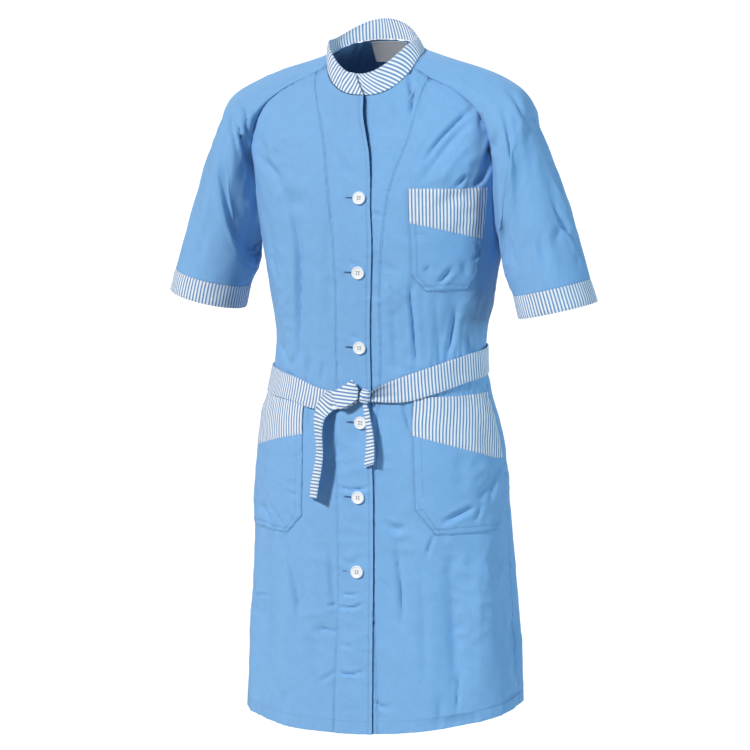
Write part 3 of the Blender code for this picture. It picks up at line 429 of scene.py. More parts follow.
def crumples(p, q, seed):
    # Sharp ridges of two sizes: a half less the height of a ripple whose hollows are folded up.
    form = reliefForm["crumples"]
    large = 0.5 - np.abs(ripple(p, q * 0.7, form["size"], 6.1 + seed))
    small = 0.5 - np.abs(ripple(p, q, form["fineSize"], 8.3 + seed))
    return large + 0.5 * small


def fineRelief(angle, level):
    # Finer creases, gathers that fade away from the belt, hanging folds of the skirt, a soft
    # unevenness everywhere and patches of crumples; all are calmer down the front's middle.
    turn = (angle + 180) % 360 - 180
    p = turn * bodyForm["metresPerDegree"]
    form = reliefForm["gathers"]
    nearBelt = np.exp(-(((level - form["level"]) / form["reach"]) ** 2))
    gathers = form["rise"] * ripple(p * 5.0, level * 0.55, form["size"], 3.1) * nearBelt
    gathers = gathers * soften(np.abs(turn), 16, 34)
    form = reliefForm["hanging"]
    hanging = form["rise"] * ripple(p * 2.2, level * 0.35, form["size"], 5.3)
    hanging = hanging * soften(level, form["start"], form["full"])
    form = reliefForm["soft"]
    soft = ripple(p, level, form["size"], 1.7) + 0.5 * ripple(p, level, form["fineSize"], 2.9)
    soft = form["rise"] * soft
    form = reliefForm["crumples"]
    patches = soften(ripple(p, level, form["patchSize"], 4.4), -0.1, 0.7)
    crumpled = form["rise"] * crumples(p, level, 0.0) * patches
    calm = 0.35 + 0.65 * soften(np.abs(turn), 8, 22)
    creased = bodyFolds(angle, level, bodyForm["creases"])
    return creased + gathers + calm * (hanging + soft) + (0.5 + 0.5 * calm) * crumpled


def coat(angle, level):
    # Outer face of the body's cloth: the plain body moved out along its normal by the relief.
    angle, level = np.broadcast_arrays(np.asarray(angle, float),
                                       np.clip(level, bodyForm["hem"], bodyForm["seamLevel"]))
    relief = bodyRelief(angle, level)[..., None]
    return body(angle, level) + relief * normals(body, angle, level, 0.2, 0.0005)


def coatNormal(angle, level):
    angle, level = np.broadcast_arrays(np.asarray(angle, float), np.asarray(level, float))
    return normals(coat, angle, level, 0.6, 0.0015)


def angleAt(out, level):
    # Angle where the ring is `out` to the side: arcsine of its share of the half width.
    halfWidth, square = curve(bodyForm["rings"], 4, level), curve(bodyForm["rings"], 8, level)
    return np.degrees(np.arcsin(np.sign(out) * np.clip(np.abs(out) / halfWidth, 0, 1) ** (square / 2)))


def levelAt(angle, z):
    # Level whose ring passes height z at this angle, by repeated correction.
    angle, z = np.broadcast_arrays(np.asarray(angle, float), np.asarray(z, float))
    level = z.copy()
    for _ in range(25):
        level = level + 0.8 * (z - body(angle, level)[..., 2])
        level = np.clip(level, bodyForm["hem"], bodyForm["seamLevel"])
    return level


def degreesFor(distance, angle, level):
    # Distance over the length of one degree of the ring.
    step = body(angle + 0.5, level) - body(angle - 0.5, level)
    return distance / np.linalg.norm(step, axis=-1)


def armhole(column, level):
    return curve(bodyForm["armhole"], column, level)


def bandSeam(side, level):
    return angleAt(curve(bodyForm["bandSeam"], 1 if side > 0 else 2, level), level)


def bandOuter(side, level):
    # Outer edge of a front band: its own seam, then the saddle seam near the neck.
    return np.minimum(bandSeam(side, level), armhole(1, level))


def direction(azimuth, elevation):
    # Unit vector that points this many degrees round from the front, to +X, and up.
    turn, tilt = math.radians(azimuth), math.radians(elevation)
    return np.array([math.sin(turn) * math.cos(tilt), -math.cos(turn) * math.cos(tilt), math.sin(tilt)])


def seenFromFront(points):
    # Metres right and up of the chart's middle, each point drawn as large as it looks there:
    # the distance to the middle over the distance to the point.
    form = creaseForm
    turn = math.radians(form["azimuth"])
    right = np.array([math.cos(turn), math.sin(turn), 0])
    toward = direction(form["azimuth"], form["elevation"])
    off = points - np.array(form["middle"])
    scale = form["distance"] / (form["distance"] - off @ toward)
    return (off @ right) * scale, (off @ np.cross(toward, right)) * scale, toward


def creaseRun(places):
    # Five points for each stretch of a crease, on a smooth run through its places.
    rows = np.column_stack([np.arange(len(places)), np.array(places) * 0.001])
    at = np.linspace(0, len(places) - 1, 4 * (len(places) - 1) + 1)
    return np.stack([curve(rows, 1, at), curve(rows, 2, at)], -1)


def frontCreases(points, normal):
    # Each crease is a bell of the distance from its run, with a low lip at both sides, tapered
    # to its ends by a sine; all fade where the cloth turns away from the front.
    p, q, toward = seenFromFront(points)
    total = np.zeros(p.shape)
    for rise, width, *places in creaseForm["rows"]:
        run, width = creaseRun(places), width * 0.001
        low, high = run.min(0) - 4 * width, run.max(0) + 4 * width
        near = (p > low[0]) & (p < high[0]) & (q > low[1]) & (q < high[1])
        if not near.any():
            continue
        at = np.stack([p[near], q[near]], -1)
        steps = np.diff(run, axis=0)
        size = np.linalg.norm(steps, axis=-1)
        before = np.concatenate([[0], np.cumsum(size)])
        best, share = np.full(len(at), 1.0), np.zeros(len(at))
        for start, step, length, done in zip(run[:-1], steps, size, before):
            u = np.clip(((at - start) @ step) / length**2, 0, 1)
            off = np.linalg.norm(at - start - u[:, None] * step, axis=-1)
            share = np.where(off < best, (done + u * length) / before[-1], share)
            best = np.minimum(best, off)
        valley = np.exp(-((best / width) ** creaseForm["sharpness"]))
        lip = creaseForm["lip"] * np.exp(-(((best - 1.9 * width) / width) ** 2))
        taper = np.sin(np.pi * np.clip(share, 0.02, 0.98)) ** 0.6
        total[near] += creaseForm["depth"] * rise * (valley - lip) * taper
    return total * soften(normal @ toward, 0.05, 0.30)


def frontLift(angle, level):
    # Lap over the lower band, and the gape of the open top, each a softened step.
    out = curve(bodyForm["rings"], 4, level) * np.sin(np.radians(angle))
    lap = bodyForm["bandLift"] * soften(out, -0.0300, -bodyForm["lapStart"])
    openTop = bodyForm["gape"] * soften(level, -0.170, -0.020) * soften(out, -0.012, 0.010)
    return lap + openTop


# Materials
clothLooks = {
    "blue": {"colour": (0.222, 0.446, 0.742), "deep": (0.174, 0.384, 0.690), "thread": 0.00045},
    "white": (0.840, 0.865, 0.895),
    "stripe": (0.130, 0.290, 0.560),
    "pitch": 0.0050,  # one white and one blue stripe together
    "whiteShare": 0.55,
    "roughness": 0.82,
    "sheen": 0.12,
    "seamTint": (-0.95, -0.86, -0.70),  # what full seam shade takes from red, green and blue
}
tapeLooks = {"low": (0.80, 0.81, 0.83), "high": (0.88, 0.88, 0.89), "ribs": 16000.0}
plasticLooks = {"low": (0.80, 0.81, 0.83), "high": (0.90, 0.90, 0.91)}


def nodeMaker(material):
    # Short way to add a node, set its sockets and join it to earlier ones.
    tree = material.node_tree

    def add(kind, settings=None, **sockets):
        node = tree.nodes.new(kind)
        for name, value in (settings or {}).items():
            setattr(node, name, value)
        for name, value in sockets.items():
            key = int(name[1:]) if name[0] == "i" and name[1:].isdigit() else name.replace("_", " ")
            if isinstance(value, bpy.types.NodeSocket):
                tree.links.new(value, node.inputs[key])
            else:
                node.inputs[key].default_value = value
        return node
    return add


def worked(add, operation, *values):
    # Output of a maths node with these values or sockets as its inputs.
    return add("ShaderNodeMath", {"operation": operation},
               **{f"i{place}": value for place, value in enumerate(values)}).outputs[0]


def blended(add, factor, low, high):
    # Colour between low and high by a factor.
    mix = add("ShaderNodeMix", {"data_type": "RGBA"}, Factor=factor)
    mix.inputs[6].default_value = (*low, 1)
    mix.inputs[7].default_value = (*high, 1)
    return mix.outputs[2]


def bumped(material, shader, add, height, strength, distance):
    # Fine height as a bump on the shader's normal.
    bump = add("ShaderNodeBump", Strength=strength, Distance=distance, Height=height)
    material.node_tree.links.new(bump.outputs[0], shader.inputs["Normal"])


def newMaterial(name, roughness, sheen=0.0):
    material = bpy.data.materials.new(name)
    material.use_nodes = True
    shader = material.node_tree.nodes["Principled BSDF"]
    shader.inputs["Roughness"].default_value = roughness
    shader.inputs["Sheen Weight"].default_value = sheen
    shader.inputs["Sheen Roughness"].default_value = 0.45
    shader.inputs["Specular IOR Level"].default_value = 0.28
    return material, shader, nodeMaker(material)


def clothMaterial(name, striped):
    # Plain weave: product of sines of both thread counts. Colour: base, slubs, soft mottling
    # and, on striped cloth, a softened step of the share of each pitch along the map's U.
    look = clothLooks["blue"]
    material, shader, add = newMaterial(name, clothLooks["roughness"], clothLooks["sheen"])
    link = material.node_tree.links.new
    flat = add("ShaderNodeUVMap", {"uv_map": "cloth"}).outputs[0]
    split = add("ShaderNodeSeparateXYZ", i0=flat)
    turns = math.pi / look["thread"]
    over = worked(add, "SINE", worked(add, "MULTIPLY", split.outputs[0], turns))
    under = worked(add, "SINE", worked(add, "MULTIPLY", split.outputs[1], turns))
    weave = worked(add, "MULTIPLY", over, under)
    slubs, cross = (add("ShaderNodeTexNoise", Scale=1.0, Detail=2.0,
                        Vector=add("ShaderNodeMapping", Vector=flat, Scale=scale).outputs[0]).outputs[0]
                    for scale in ((900, 60, 1), (60, 900, 1)))
    mottle = add("ShaderNodeTexNoise", Scale=55.0, Detail=3.0, Vector=flat)
    threads = worked(add, "ADD", slubs, cross)
    tone = add("ShaderNodeMapRange", i0=threads, i1=0.6, i2=1.4, i3=0.0, i4=1.0).outputs[0]
    colour = blended(add, tone, look["deep"], look["colour"])
    if striped:
        cycle = worked(add, "FRACT", worked(add, "DIVIDE", split.outputs[0], clothLooks["pitch"]))
        off = worked(add, "ABSOLUTE", worked(add, "SUBTRACT", cycle, 0.5))
        ragged = worked(add, "MULTIPLY_ADD", cross, 0.08, off)
        edge = clothLooks["whiteShare"] / 2 + 0.04
        isBlue = add("ShaderNodeMapRange", {"interpolation_type": "SMOOTHSTEP"}, i0=ragged,
                     i1=edge - 0.035, i2=edge + 0.035, i3=0.0, i4=1.0)
        stripes = add("ShaderNodeMix", {"data_type": "RGBA"}, Factor=isBlue.outputs[0])
        for socket, part, fade in ((6, "white", 0.93), (7, "stripe", 0.85)):
            pure = clothLooks[part]
            link(blended(add, tone, [fade * c for c in pure], pure), stripes.inputs[socket])
        colour = stripes.outputs[2]
    # Painted shade from the seamShade attribute: seams, stitch lines, beside the upper band's edge and in
    # the belt's gathers; it takes most from red
    seams = add("ShaderNodeAttribute", {"attribute_name": "seamShade"})
    shade = worked(add, "MULTIPLY_ADD", mottle.outputs[0], 0.10, 0.95)
    woven = add("ShaderNodeVectorMath", {"operation": "SCALE"}, i0=colour,
                Scale=worked(add, "MULTIPLY_ADD", weave, 0.035, shade))
    less = add("ShaderNodeVectorMath", {"operation": "SCALE"}, i0=clothLooks["seamTint"],
               Scale=seams.outputs["Fac"])
    rest = add("ShaderNodeVectorMath", {"operation": "ADD"}, i0=less.outputs[0], i1=(1.0, 1.0, 1.0))
    done = add("ShaderNodeVectorMath", {"operation": "MULTIPLY"}, i0=woven.outputs[0],
               i1=rest.outputs[0])
    link(done.outputs[0], shader.inputs["Base Color"])
    bumped(material, shader, add, worked(add, "MULTIPLY_ADD", threads, 0.8, weave), 0.35, 0.00012)
    return material


def threadMaterial(name, colour):
    # Twisted sewing thread: fine noise on the object's own coordinates.
    material, shader, add = newMaterial(name, 0.7, 0.1)
    place = add("ShaderNodeTexCoord").outputs["Object"]
    twist = add("ShaderNodeTexNoise", Scale=2500.0, Detail=2.0, Vector=place).outputs[0]
    tone = blended(add, twist, [0.8 * c for c in colour], colour)
    material.node_tree.links.new(tone, shader.inputs["Base Color"])
    bumped(material, shader, add, twist, 0.4, 0.0001)
    return material


def plasticMaterial(name):
    # Turned polyester: white with faint clouding, painted shade in its wells, a very fine grain as bump.
    material, shader, add = newMaterial(name, 0.24)
    shader.inputs["Specular IOR Level"].default_value = 0.5
    shader.inputs["Subsurface Weight"].default_value = 0.05
    shader.inputs["Subsurface Radius"].default_value = (0.002, 0.002, 0.002)
    place = add("ShaderNodeTexCoord").outputs["Object"]
    cloud = add("ShaderNodeTexNoise", Scale=220.0, Detail=3.0, Vector=place).outputs[0]
    wells = add("ShaderNodeAttribute", {"attribute_name": "seamShade"})
    done = add("ShaderNodeVectorMath", {"operation": "SCALE"},
               i0=blended(add, cloud, plasticLooks["low"], plasticLooks["high"]),
               Scale=worked(add, "SUBTRACT", 1.0, wells.outputs["Fac"]))
    material.node_tree.links.new(done.outputs[0], shader.inputs["Base Color"])
    grain = add("ShaderNodeTexNoise", Scale=1800.0, Vector=place).outputs[0]
    bumped(material, shader, add, grain, 0.12, 0.00005)
    return material


def tapeMaterial(name):
    # Woven label tape: fine ribs across it from a sine of the map's V, on near white.
    material, shader, add = newMaterial(name, 0.6, 0.1)
    flat = add("ShaderNodeUVMap", {"uv_map": "cloth"}).outputs[0]
    split = add("ShaderNodeSeparateXYZ", i0=flat)
    ribs = worked(add, "SINE", worked(add, "MULTIPLY", split.outputs[1], tapeLooks["ribs"]))
    cloud = add("ShaderNodeTexNoise", Scale=300.0, Detail=2.0, Vector=flat).outputs[0]
    tone = blended(add, cloud, tapeLooks["low"], tapeLooks["high"])
    material.node_tree.links.new(tone, shader.inputs["Base Color"])
    bumped(material, shader, add, ribs, 0.3, 0.0001)
    return material


blueCloth = clothMaterial("blueCloth", False)
stripedCloth = clothMaterial("stripedCloth", True)
whitePlastic = plasticMaterial("whitePlastic")
whiteTape = tapeMaterial("whiteTape")
blueThread = threadMaterial("blueThread", (0.075, 0.205, 0.470))
whiteThread = threadMaterial("whiteThread", (0.800, 0.810, 0.830))
# Painted shade of the buttonhole slits, made with the thread material
slitShade = threadMaterial("slitShade", (0.030, 0.080, 0.200))
print("materials made")


# Cloth pieces
def makeMesh(name, points, faces, flat, dark, look):
    # One mesh from arrays of points and of four-cornered faces, with its map and seam shade.
    mesh = bpy.data.meshes.new(name)
    mesh.vertices.add(len(points))
    mesh.vertices.foreach_set("co", np.ascontiguousarray(points, np.float32).ravel())
    corners = np.ascontiguousarray(faces, np.int32)
    mesh.loops.add(corners.size)
    mesh.loops.foreach_set("vertex_index", corners.ravel())
    mesh.polygons.add(len(corners))
    mesh.polygons.foreach_set("loop_start", np.arange(0, corners.size, corners.shape[1], dtype=np.int32))
    mesh.update(calc_edges=True)
    if flat is not None:
        layer = mesh.uv_layers.new(name="cloth")
        layer.data.foreach_set("uv", np.ascontiguousarray(flat[corners.ravel()], np.float32).ravel())
        shade = mesh.attributes.new("seamShade", "FLOAT", "POINT")
        shade.data.foreach_set("value", np.ascontiguousarray(dark, np.float32))
    mesh.validate()
    mesh.shade_smooth()
    mesh.set_sharp_from_angle(angle=math.radians(55))
    mesh.materials.append(look)
    made = bpy.data.objects.new(name, mesh)
    bpy.context.scene.collection.objects.link(made)
    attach(made, "root")
    return made


def gridFaces(rows, columns):
    # Four-cornered faces between the points of a grid.
    index = np.arange(rows * columns).reshape(rows, columns)
    return np.stack([index[:-1, :-1], index[:-1, 1:], index[1:, 1:], index[1:, :-1]], -1).reshape(-1, 4)


def closeSeam(made):
    # Points that meet where a turned shape comes round to its start become one.
    made.modifiers.new("weld", "WELD").merge_threshold = 0.00002


def shell(name, outer, inner, flat, dark, look):
    # Closed shell: the outer grid, the inner grid turned round, and a rim between their borders.
    rows, columns = outer.shape[:2]
    count = rows * columns
    index = np.arange(count).reshape(rows, columns)
    face = gridFaces(rows, columns)
    loop = np.concatenate([index[0, :-1], index[:-1, -1], index[-1, :0:-1], index[:0:-1, 0]])
    after = np.roll(loop, -1)
    rim = np.stack([after, loop, loop + count, after + count], -1)
    faces = np.concatenate([face, face[:, ::-1] + count, rim])
    points = np.concatenate([outer.reshape(-1, 3), inner.reshape(-1, 3)])
    if flat is not None:
        flat = np.concatenate([flat.reshape(-1, 2)] * 2)
        dark = np.concatenate([dark.ravel()] * 2)
    return makeMesh(name, points, faces, flat, dark, look)


def lengths(points):
    # Running distance along the rows and along the columns of a grid.
    across = np.zeros(points.shape[:2])
    along = np.zeros(points.shape[:2])
    across[:, 1:] = np.cumsum(np.linalg.norm(np.diff(points, axis=1), axis=-1), 1)
    along[1:] = np.cumsum(np.linalg.norm(np.diff(points, axis=0), axis=-1), 0)
    return across, along


# Ways an edge is finished: how far it rolls in, how much painted shade darkens it, where its stitch
# lines run, how much it puckers, and how much painted shade darkens the lines where that isn't the usual
edgeStyles = {
    "none": {"roll": 0.0, "dark": 0.0, "lines": (), "pucker": 0.0},
    "seam": {"roll": 0.00060, "dark": 0.17, "lines": (), "pucker": 0.00035},
    "topstitched": {"roll": 0.00050, "dark": 0.12, "lines": (0.0022,), "pucker": 0.00055},
    "front": {"roll": -0.00050, "dark": 0.0, "lines": (0.0058,), "pucker": 0.00030},
    "fold": {"roll": 0.00030, "dark": 0.2, "lines": (), "pucker": 0.00010},
    "hem": {"roll": 0.00030, "dark": 0.1, "lines": (0.0165,), "pucker": 0.00070, "line": 0.28},
    "patch": {"roll": 0.00040, "dark": 0.25, "lines": (0.0014, 0.0092), "pucker": 0.00045},
    "trimTop": {"roll": 0.00040, "dark": 0.07, "lines": (0.0016,), "pucker": 0.00015, "line": 0.07},
}


def edgeRelief(distance, run, style, seed):
    # Roll of the edge, a groove on each stitch line, and puckers that fade away from it. Painted
    # shade along the edge and on each stitch line goes out as `dark`.
    form = edgeStyles[style]
    total = -form["roll"] * np.exp(-((distance / 0.0009) ** 2))
    dark = form["dark"] * np.exp(-((distance / 0.0007) ** 2))
    reach = 0.004
    for line in form["lines"]:
        total = total - 0.00040 * np.exp(-(((distance - line) / 0.0010) ** 2))
        dark = np.maximum(dark, form.get("line", 0.14) * np.exp(-(((distance - line) / 0.0009) ** 2)))
        reach = max(reach, line + 0.004)
    pucker = ripple(run, 0 * run, 0.012, seed) + 0.6 * ripple(run, 0 * run, 0.0065, seed + 2)
    return total + form["pucker"] * pucker * np.exp(-((distance / reach) ** 2)), dark


def edgeSteps(style):
    # Distances from an edge at which a grid has columns: close at the edge and its lines.
    steps = [0, 0.0006, 0.0014, 0.0024, 0.0040]
    for line in edgeStyles[style]["lines"]:
        steps += [line - 0.0013, line, line + 0.0013]
    steps = sorted(s for s in steps if s >= 0)
    kept = [0.0]
    for step in steps:
        if step - kept[-1] > 0.00045:
            kept.append(step)
    return np.array(kept)


def spread(start, stop, perMetre, startSteps, stopSteps, count):
    # Columns from start to stop: fixed distances at both ends, even ones between them.
    room = stop - start
    need = (startSteps[-1] + stopSteps[-1]) * perMetre * 1.25
    fit = np.minimum(1.0, room / need)
    low = start + perMetre * startSteps * fit
    high = stop - perMetre * stopSteps[::-1] * fit
    share = np.linspace(0, 1, count + 2)[1:-1]
    return np.concatenate([low, low[:, -1:] + (high[:, :1] - low[:, -1:]) * share, high], 1)


# Stitches, in metres
stitchForm = {"pitch": 0.0027, "long": 0.0019, "wide": 0.00042, "high": 0.00022}


def stitchesOn(lines):
    # Each stitch is a small four-sided spindle, laid along its line at every pitch.
    points, faces = [], []
    form, count = stitchForm, 0
    for line, normal in lines:
        run = np.concatenate([[0], np.cumsum(np.linalg.norm(np.diff(line, axis=0), axis=-1))])
        at = np.arange(form["pitch"] / 2, run[-1] - form["pitch"] / 2, form["pitch"])
        if len(at) == 0:
            continue
        centre = np.stack([np.interp(at, run, line[:, k]) for k in range(3)], -1)
        ahead = np.stack([np.interp(at + 0.0004, run, line[:, k]) for k in range(3)], -1)
        up = np.stack([np.interp(at, run, normal[:, k]) for k in range(3)], -1)
        ahead = ahead - centre
        ahead /= np.linalg.norm(ahead, axis=-1, keepdims=True)
        up = up - (up * ahead).sum(-1, keepdims=True) * ahead
        up /= np.linalg.norm(up, axis=-1, keepdims=True)
        aside = np.cross(ahead, up)
        rings = []
        for reach, size in ((-0.5, 0.25), (-0.3, 1.0), (0.3, 1.0), (0.5, 0.25)):
            for turned in (0, 90, 180, 270):
                c, s = math.cos(math.radians(turned)), math.sin(math.radians(turned))
                rings.append(centre + ahead * reach * form["long"] + aside * c * form["wide"] / 2 * size
                             + up * (s * form["high"] * size - form["high"] * 0.3 * (1 - size)))
        block = np.stack(rings, 1)
        first = count + 16 * np.arange(len(at))[:, None]
        sides = [(4 * k + j, 4 * k + (j + 1) % 4, 4 * k + 4 + (j + 1) % 4, 4 * k + 4 + j)
                 for k in range(3) for j in range(4)]
        ends = [(3, 2, 1, 0), (12, 13, 14, 15)]
        faces.append((first[:, :, None] + np.array(sides + ends)[None]).reshape(-1, 4))
        points.append(block.reshape(-1, 3))
        count += 16 * len(at)
    return np.concatenate(points), np.concatenate(faces)


def addThread(name, lines, look):
    points, faces = stitchesOn(lines)
    made = makeMesh(name, points, faces[:, ::-1], None, None, look)
    return made


def relieved(outer, normal, styles, seed):
    # Adds the four edges' relief to a grid and lists its stitch lines with their normals.
    across, along = lengths(outer)
    gaps = {"left": across, "right": across[:, -1:] - across, "low": along, "high": along[-1:] - along}
    total, dark, lines = np.zeros(across.shape), np.zeros(across.shape), []
    for place, (edge, style) in enumerate(styles.items()):
        distance = gaps[edge]
        run = along if edge in ("left", "right") else across
        relief, shade = edgeRelief(distance, run, style, seed + 1.3 * place)
        total = total + relief
        dark = np.maximum(dark, shade)
    outer = outer + total[..., None] * normal
    for edge, style in styles.items():
        for line in edgeStyles[style]["lines"]:
            if edge in ("left", "right"):
                column = np.argmin(np.abs(gaps[edge] - line), 1)
                rows = np.arange(len(column))
                lines.append((outer[rows, column], normal[rows, column]))
            else:
                row = np.argmin(np.abs(gaps[edge] - line), 0)
                columns = np.arange(len(row))
                lines.append((outer[row, columns], normal[row, columns]))
    return outer, across, along, dark, lines


def clothPiece(name, node, outer, normal, styles, look, seed, thick,
               middle=0, flat=None, under=0.0):
    # A sheet of cloth from its grid: edges finished, shell closed, stitches laid on. Its map
    # starts at column `middle`, and `under` is painted shade: what other cloth throws on it, or what lies
    # in its gathers.
    outer, across, along, dark, lines = relieved(outer, normal, styles, seed)
    dark = np.maximum(dark, under)
    if flat is None:
        flat = np.stack([across - across[:, middle:middle + 1], along], -1)
    made = shell(name, outer, outer - thick * normal, flat, dark, look)
    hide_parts(node)
    if lines:
        sewnWith = whiteThread if look is stripedCloth else blueThread
        addThread(name + "_thread", lines, sewnWith)
    return made


def bodyLevels(top):
    # Rows from the hem up: close near the hem and its stitch line, then even.
    low = bodyForm["hem"] + edgeSteps("hem")
    count = round((top - low[-1]) / bodyForm["rowStep"])
    return np.concatenate([low, np.linspace(low[-1] + 0.002, top, count)])


def panelTip(side):
    # Highest level with room between band seam and saddle seam.
    scan = np.linspace(-0.05, bodyForm["seamLevel"], 101)
    room = armhole(1, scan) - bandSeam(side, scan)
    return scan[room > 0.4].max()


def bodySheet(angle, level, out=0.0):
    # Points and normals of a piece on the body, its fine relief added.
    normal = coatNormal(angle, level)
    points = coat(angle, level)
    rise = np.broadcast_to(out, angle.shape) + fineRelief(angle, level) + frontCreases(points, normal)
    return points + rise[..., None] * normal, normal


def perMetreAt(angle, level):
    return degreesFor(1.0, angle, level)


bandForm = {
    "right": {"left": "topstitched", "right": "front", "low": "hem"},
    "left": {"left": "fold", "right": "topstitched", "low": "hem"},
    "shade": 0.9,  # of the lower band just beside the upper one's edge
    "shadeReach": 0.0011,
    "gapeReach": 0.0030,  # more of it where the top gapes
}
panelEdges = {"left": "seam", "right": "seam", "low": "hem"}


def frontBand(side, word):
    # From the front edge out to the band seam, as columns at fixed distances and even ones.
    level = bodyLevels(bodyForm["seamLevel"] - 0.0003)[:, None]
    seam = bandOuter(side, level)
    edge = angleAt(curve(bodyForm["openEdge"], 1, level), level)
    under = angleAt(bodyForm["underlap"], level)
    sewn, perMetre = edgeSteps("topstitched"), perMetreAt(0.0, level)
    if side < 0:
        angle = spread(-seam, edge, perMetre, sewn, edgeSteps("front"), 16)
    else:
        angle = spread(-under, seam, perMetre, edgeSteps("fold"), sewn, 34)
    level = level + 0 * angle
    outer, normal = bodySheet(angle, level, frontLift(angle, level) if side < 0 else 0.0)
    # The lower band is in the upper one's shade just beside its edge, further where the top gapes
    beside = (angle - edge) / perMetreAt(0.0, level)
    reach = bandForm["shadeReach"] + bandForm["gapeReach"] * soften(level, -0.100, -0.020)
    shade = bandForm["shade"] * np.exp(-(np.maximum(beside, 0) / reach) ** 2) if side > 0 else 0.0
    clothPiece("cloth_front_band_" + word, "front_band_" + word, outer, normal, bandForm[word],
               blueCloth, 1.1 + side, bodyForm["cloth"],
               middle=6, under=shade)


def frontPanel(side, word):
    # From the band seam to the side seam below the arm, and to the saddle seam above it.
    level = bodyLevels(panelTip(side))[:, None]
    inner = bandSeam(side, level)
    outerEdge = np.where(level < bodyForm["underarm"], 90.0, armhole(1, level))
    steps = edgeSteps("seam")
    angle = spread(inner, outerEdge, perMetreAt(45.0, level), steps, steps, 74)
    if side < 0:
        angle = -angle[:, ::-1]
    outer, normal = bodySheet(angle, level + 0 * angle)
    clothPiece("cloth_front_" + word, "front_" + word, outer, normal, panelEdges, blueCloth,
               2.3 + side, bodyForm["cloth"], middle=20)


def backPanel():
    # Whole back, from side seam to side seam and up to the collar.
    level = bodyLevels(bodyForm["seamLevel"] - 0.0003)[:, None]
    start = np.where(level < bodyForm["underarm"], 90.0, armhole(2, level))
    steps = edgeSteps("seam")
    angle = spread(start, 360 - start, perMetreAt(135.0, level), steps, steps, 96)
    outer, normal = bodySheet(angle, level + 0 * angle)
    clothPiece("cloth_back", "back", outer, normal, panelEdges, blueCloth, 4.7,
               bodyForm["cloth"], middle=50)


frontBand(-1, "right")
frontBand(1, "left")
frontPanel(-1, "right")
frontPanel(1, "left")
backPanel()
print("body made")


# Sleeves and cuffs
def armholePoint(around):
    # Angle and level on the body of the sleeve's seam ring.
    under, top = bodyForm["underarm"], bodyForm["seamLevel"]
    first, last = sleeveForm["neckFront"], sleeveForm["neckBack"]
    level = np.where(around < 0.5, np.interp(around, [0, first], [under, top]),
                     np.interp(around, [last, 1], [top, under]))
    neck = np.interp(around, [first, last], [bodyForm["armhole"][-1][1], bodyForm["armhole"][-1][2]])
    angle = np.where(around < first, armhole(1, level), np.where(around > last, armhole(2, level), neck))
    return angle, level


def sleeveRings(around, side):
    # The seam ring on the coat, then tilted ellipses from the table, and one more at each end.
    angle, level = armholePoint(around)
    rings = [coat(side * angle, level)]
    turn = 2 * np.pi * around[..., None]
    for topX, topZ, underX, underZ, midY, halfDepth, lean in sleeveForm["rows"]:
        middle = np.array([(topX + underX) / 2, midY, (topZ + underZ) / 2])
        reach = np.array([(topX - underX) / 2, 0, (topZ - underZ) / 2])
        ring = middle - np.cos(turn) * reach - np.sin(turn) * np.array([0, halfDepth, 0])
        rings.append(ring * np.array([side, 1, 1]) + np.array([lean, 0, 0]))
    first, last = 2 * rings[0] - rings[1], 2 * rings[-1] - rings[-2]
    return np.stack([first, *rings, last])


def plainSleeve(around, ring, side):
    # Cubic run through four neighbouring rings at each place around, and the shoulder's arch.
    around, ring = np.broadcast_arrays(around % 1.0, np.clip(ring, 0, sleeveForm["lastRing"]))
    rings = sleeveRings(around, side)
    k = np.clip(ring.astype(int), 0, len(sleeveForm["rows"]) - 1)
    u = (ring - k)[..., None]
    before, start, end, after = (np.take_along_axis(rings, (k + j)[None, ..., None], 0)[0]
                                 for j in range(4))
    point = 0.5 * (2 * start + (end - before) * u + (2 * before - 5 * start + 4 * end - after) * u**2
                   + (3 * start - before - 3 * end + after) * u**3)
    arch = np.sin(np.pi * np.clip(ring / sleeveForm["archEnd"], 0, 1))
    arch = arch * np.exp(-(((around - 0.5) / sleeveForm["archSpread"]) ** 2))
    point[..., 2] += sleeveForm["rise"][side] * arch
    return point


def sleeveRelief(around, ring, side):
    # Line folds in a chart of distance around and along, faded out at both ends.
    total = np.zeros(np.broadcast(around, ring).shape)
    girth, step = sleeveForm["girth"], sleeveForm["ringStep"]
    for foldSide, aroundA, ringA, aroundB, ringB, rise, width in sleeveForm["folds"]:
        if foldSide == side:
            total = total + lineFold(around % 1.0 * girth, ring * step, (aroundA * girth, ringA * step),
                                     (aroundB * girth, ringB * step), rise, width)
    calmCuff = soften(ring, sleeveForm["lastRing"], sleeveForm["cuffRing"] - 1)
    return total * soften(ring, 0.2, 1.0) * calmCuff


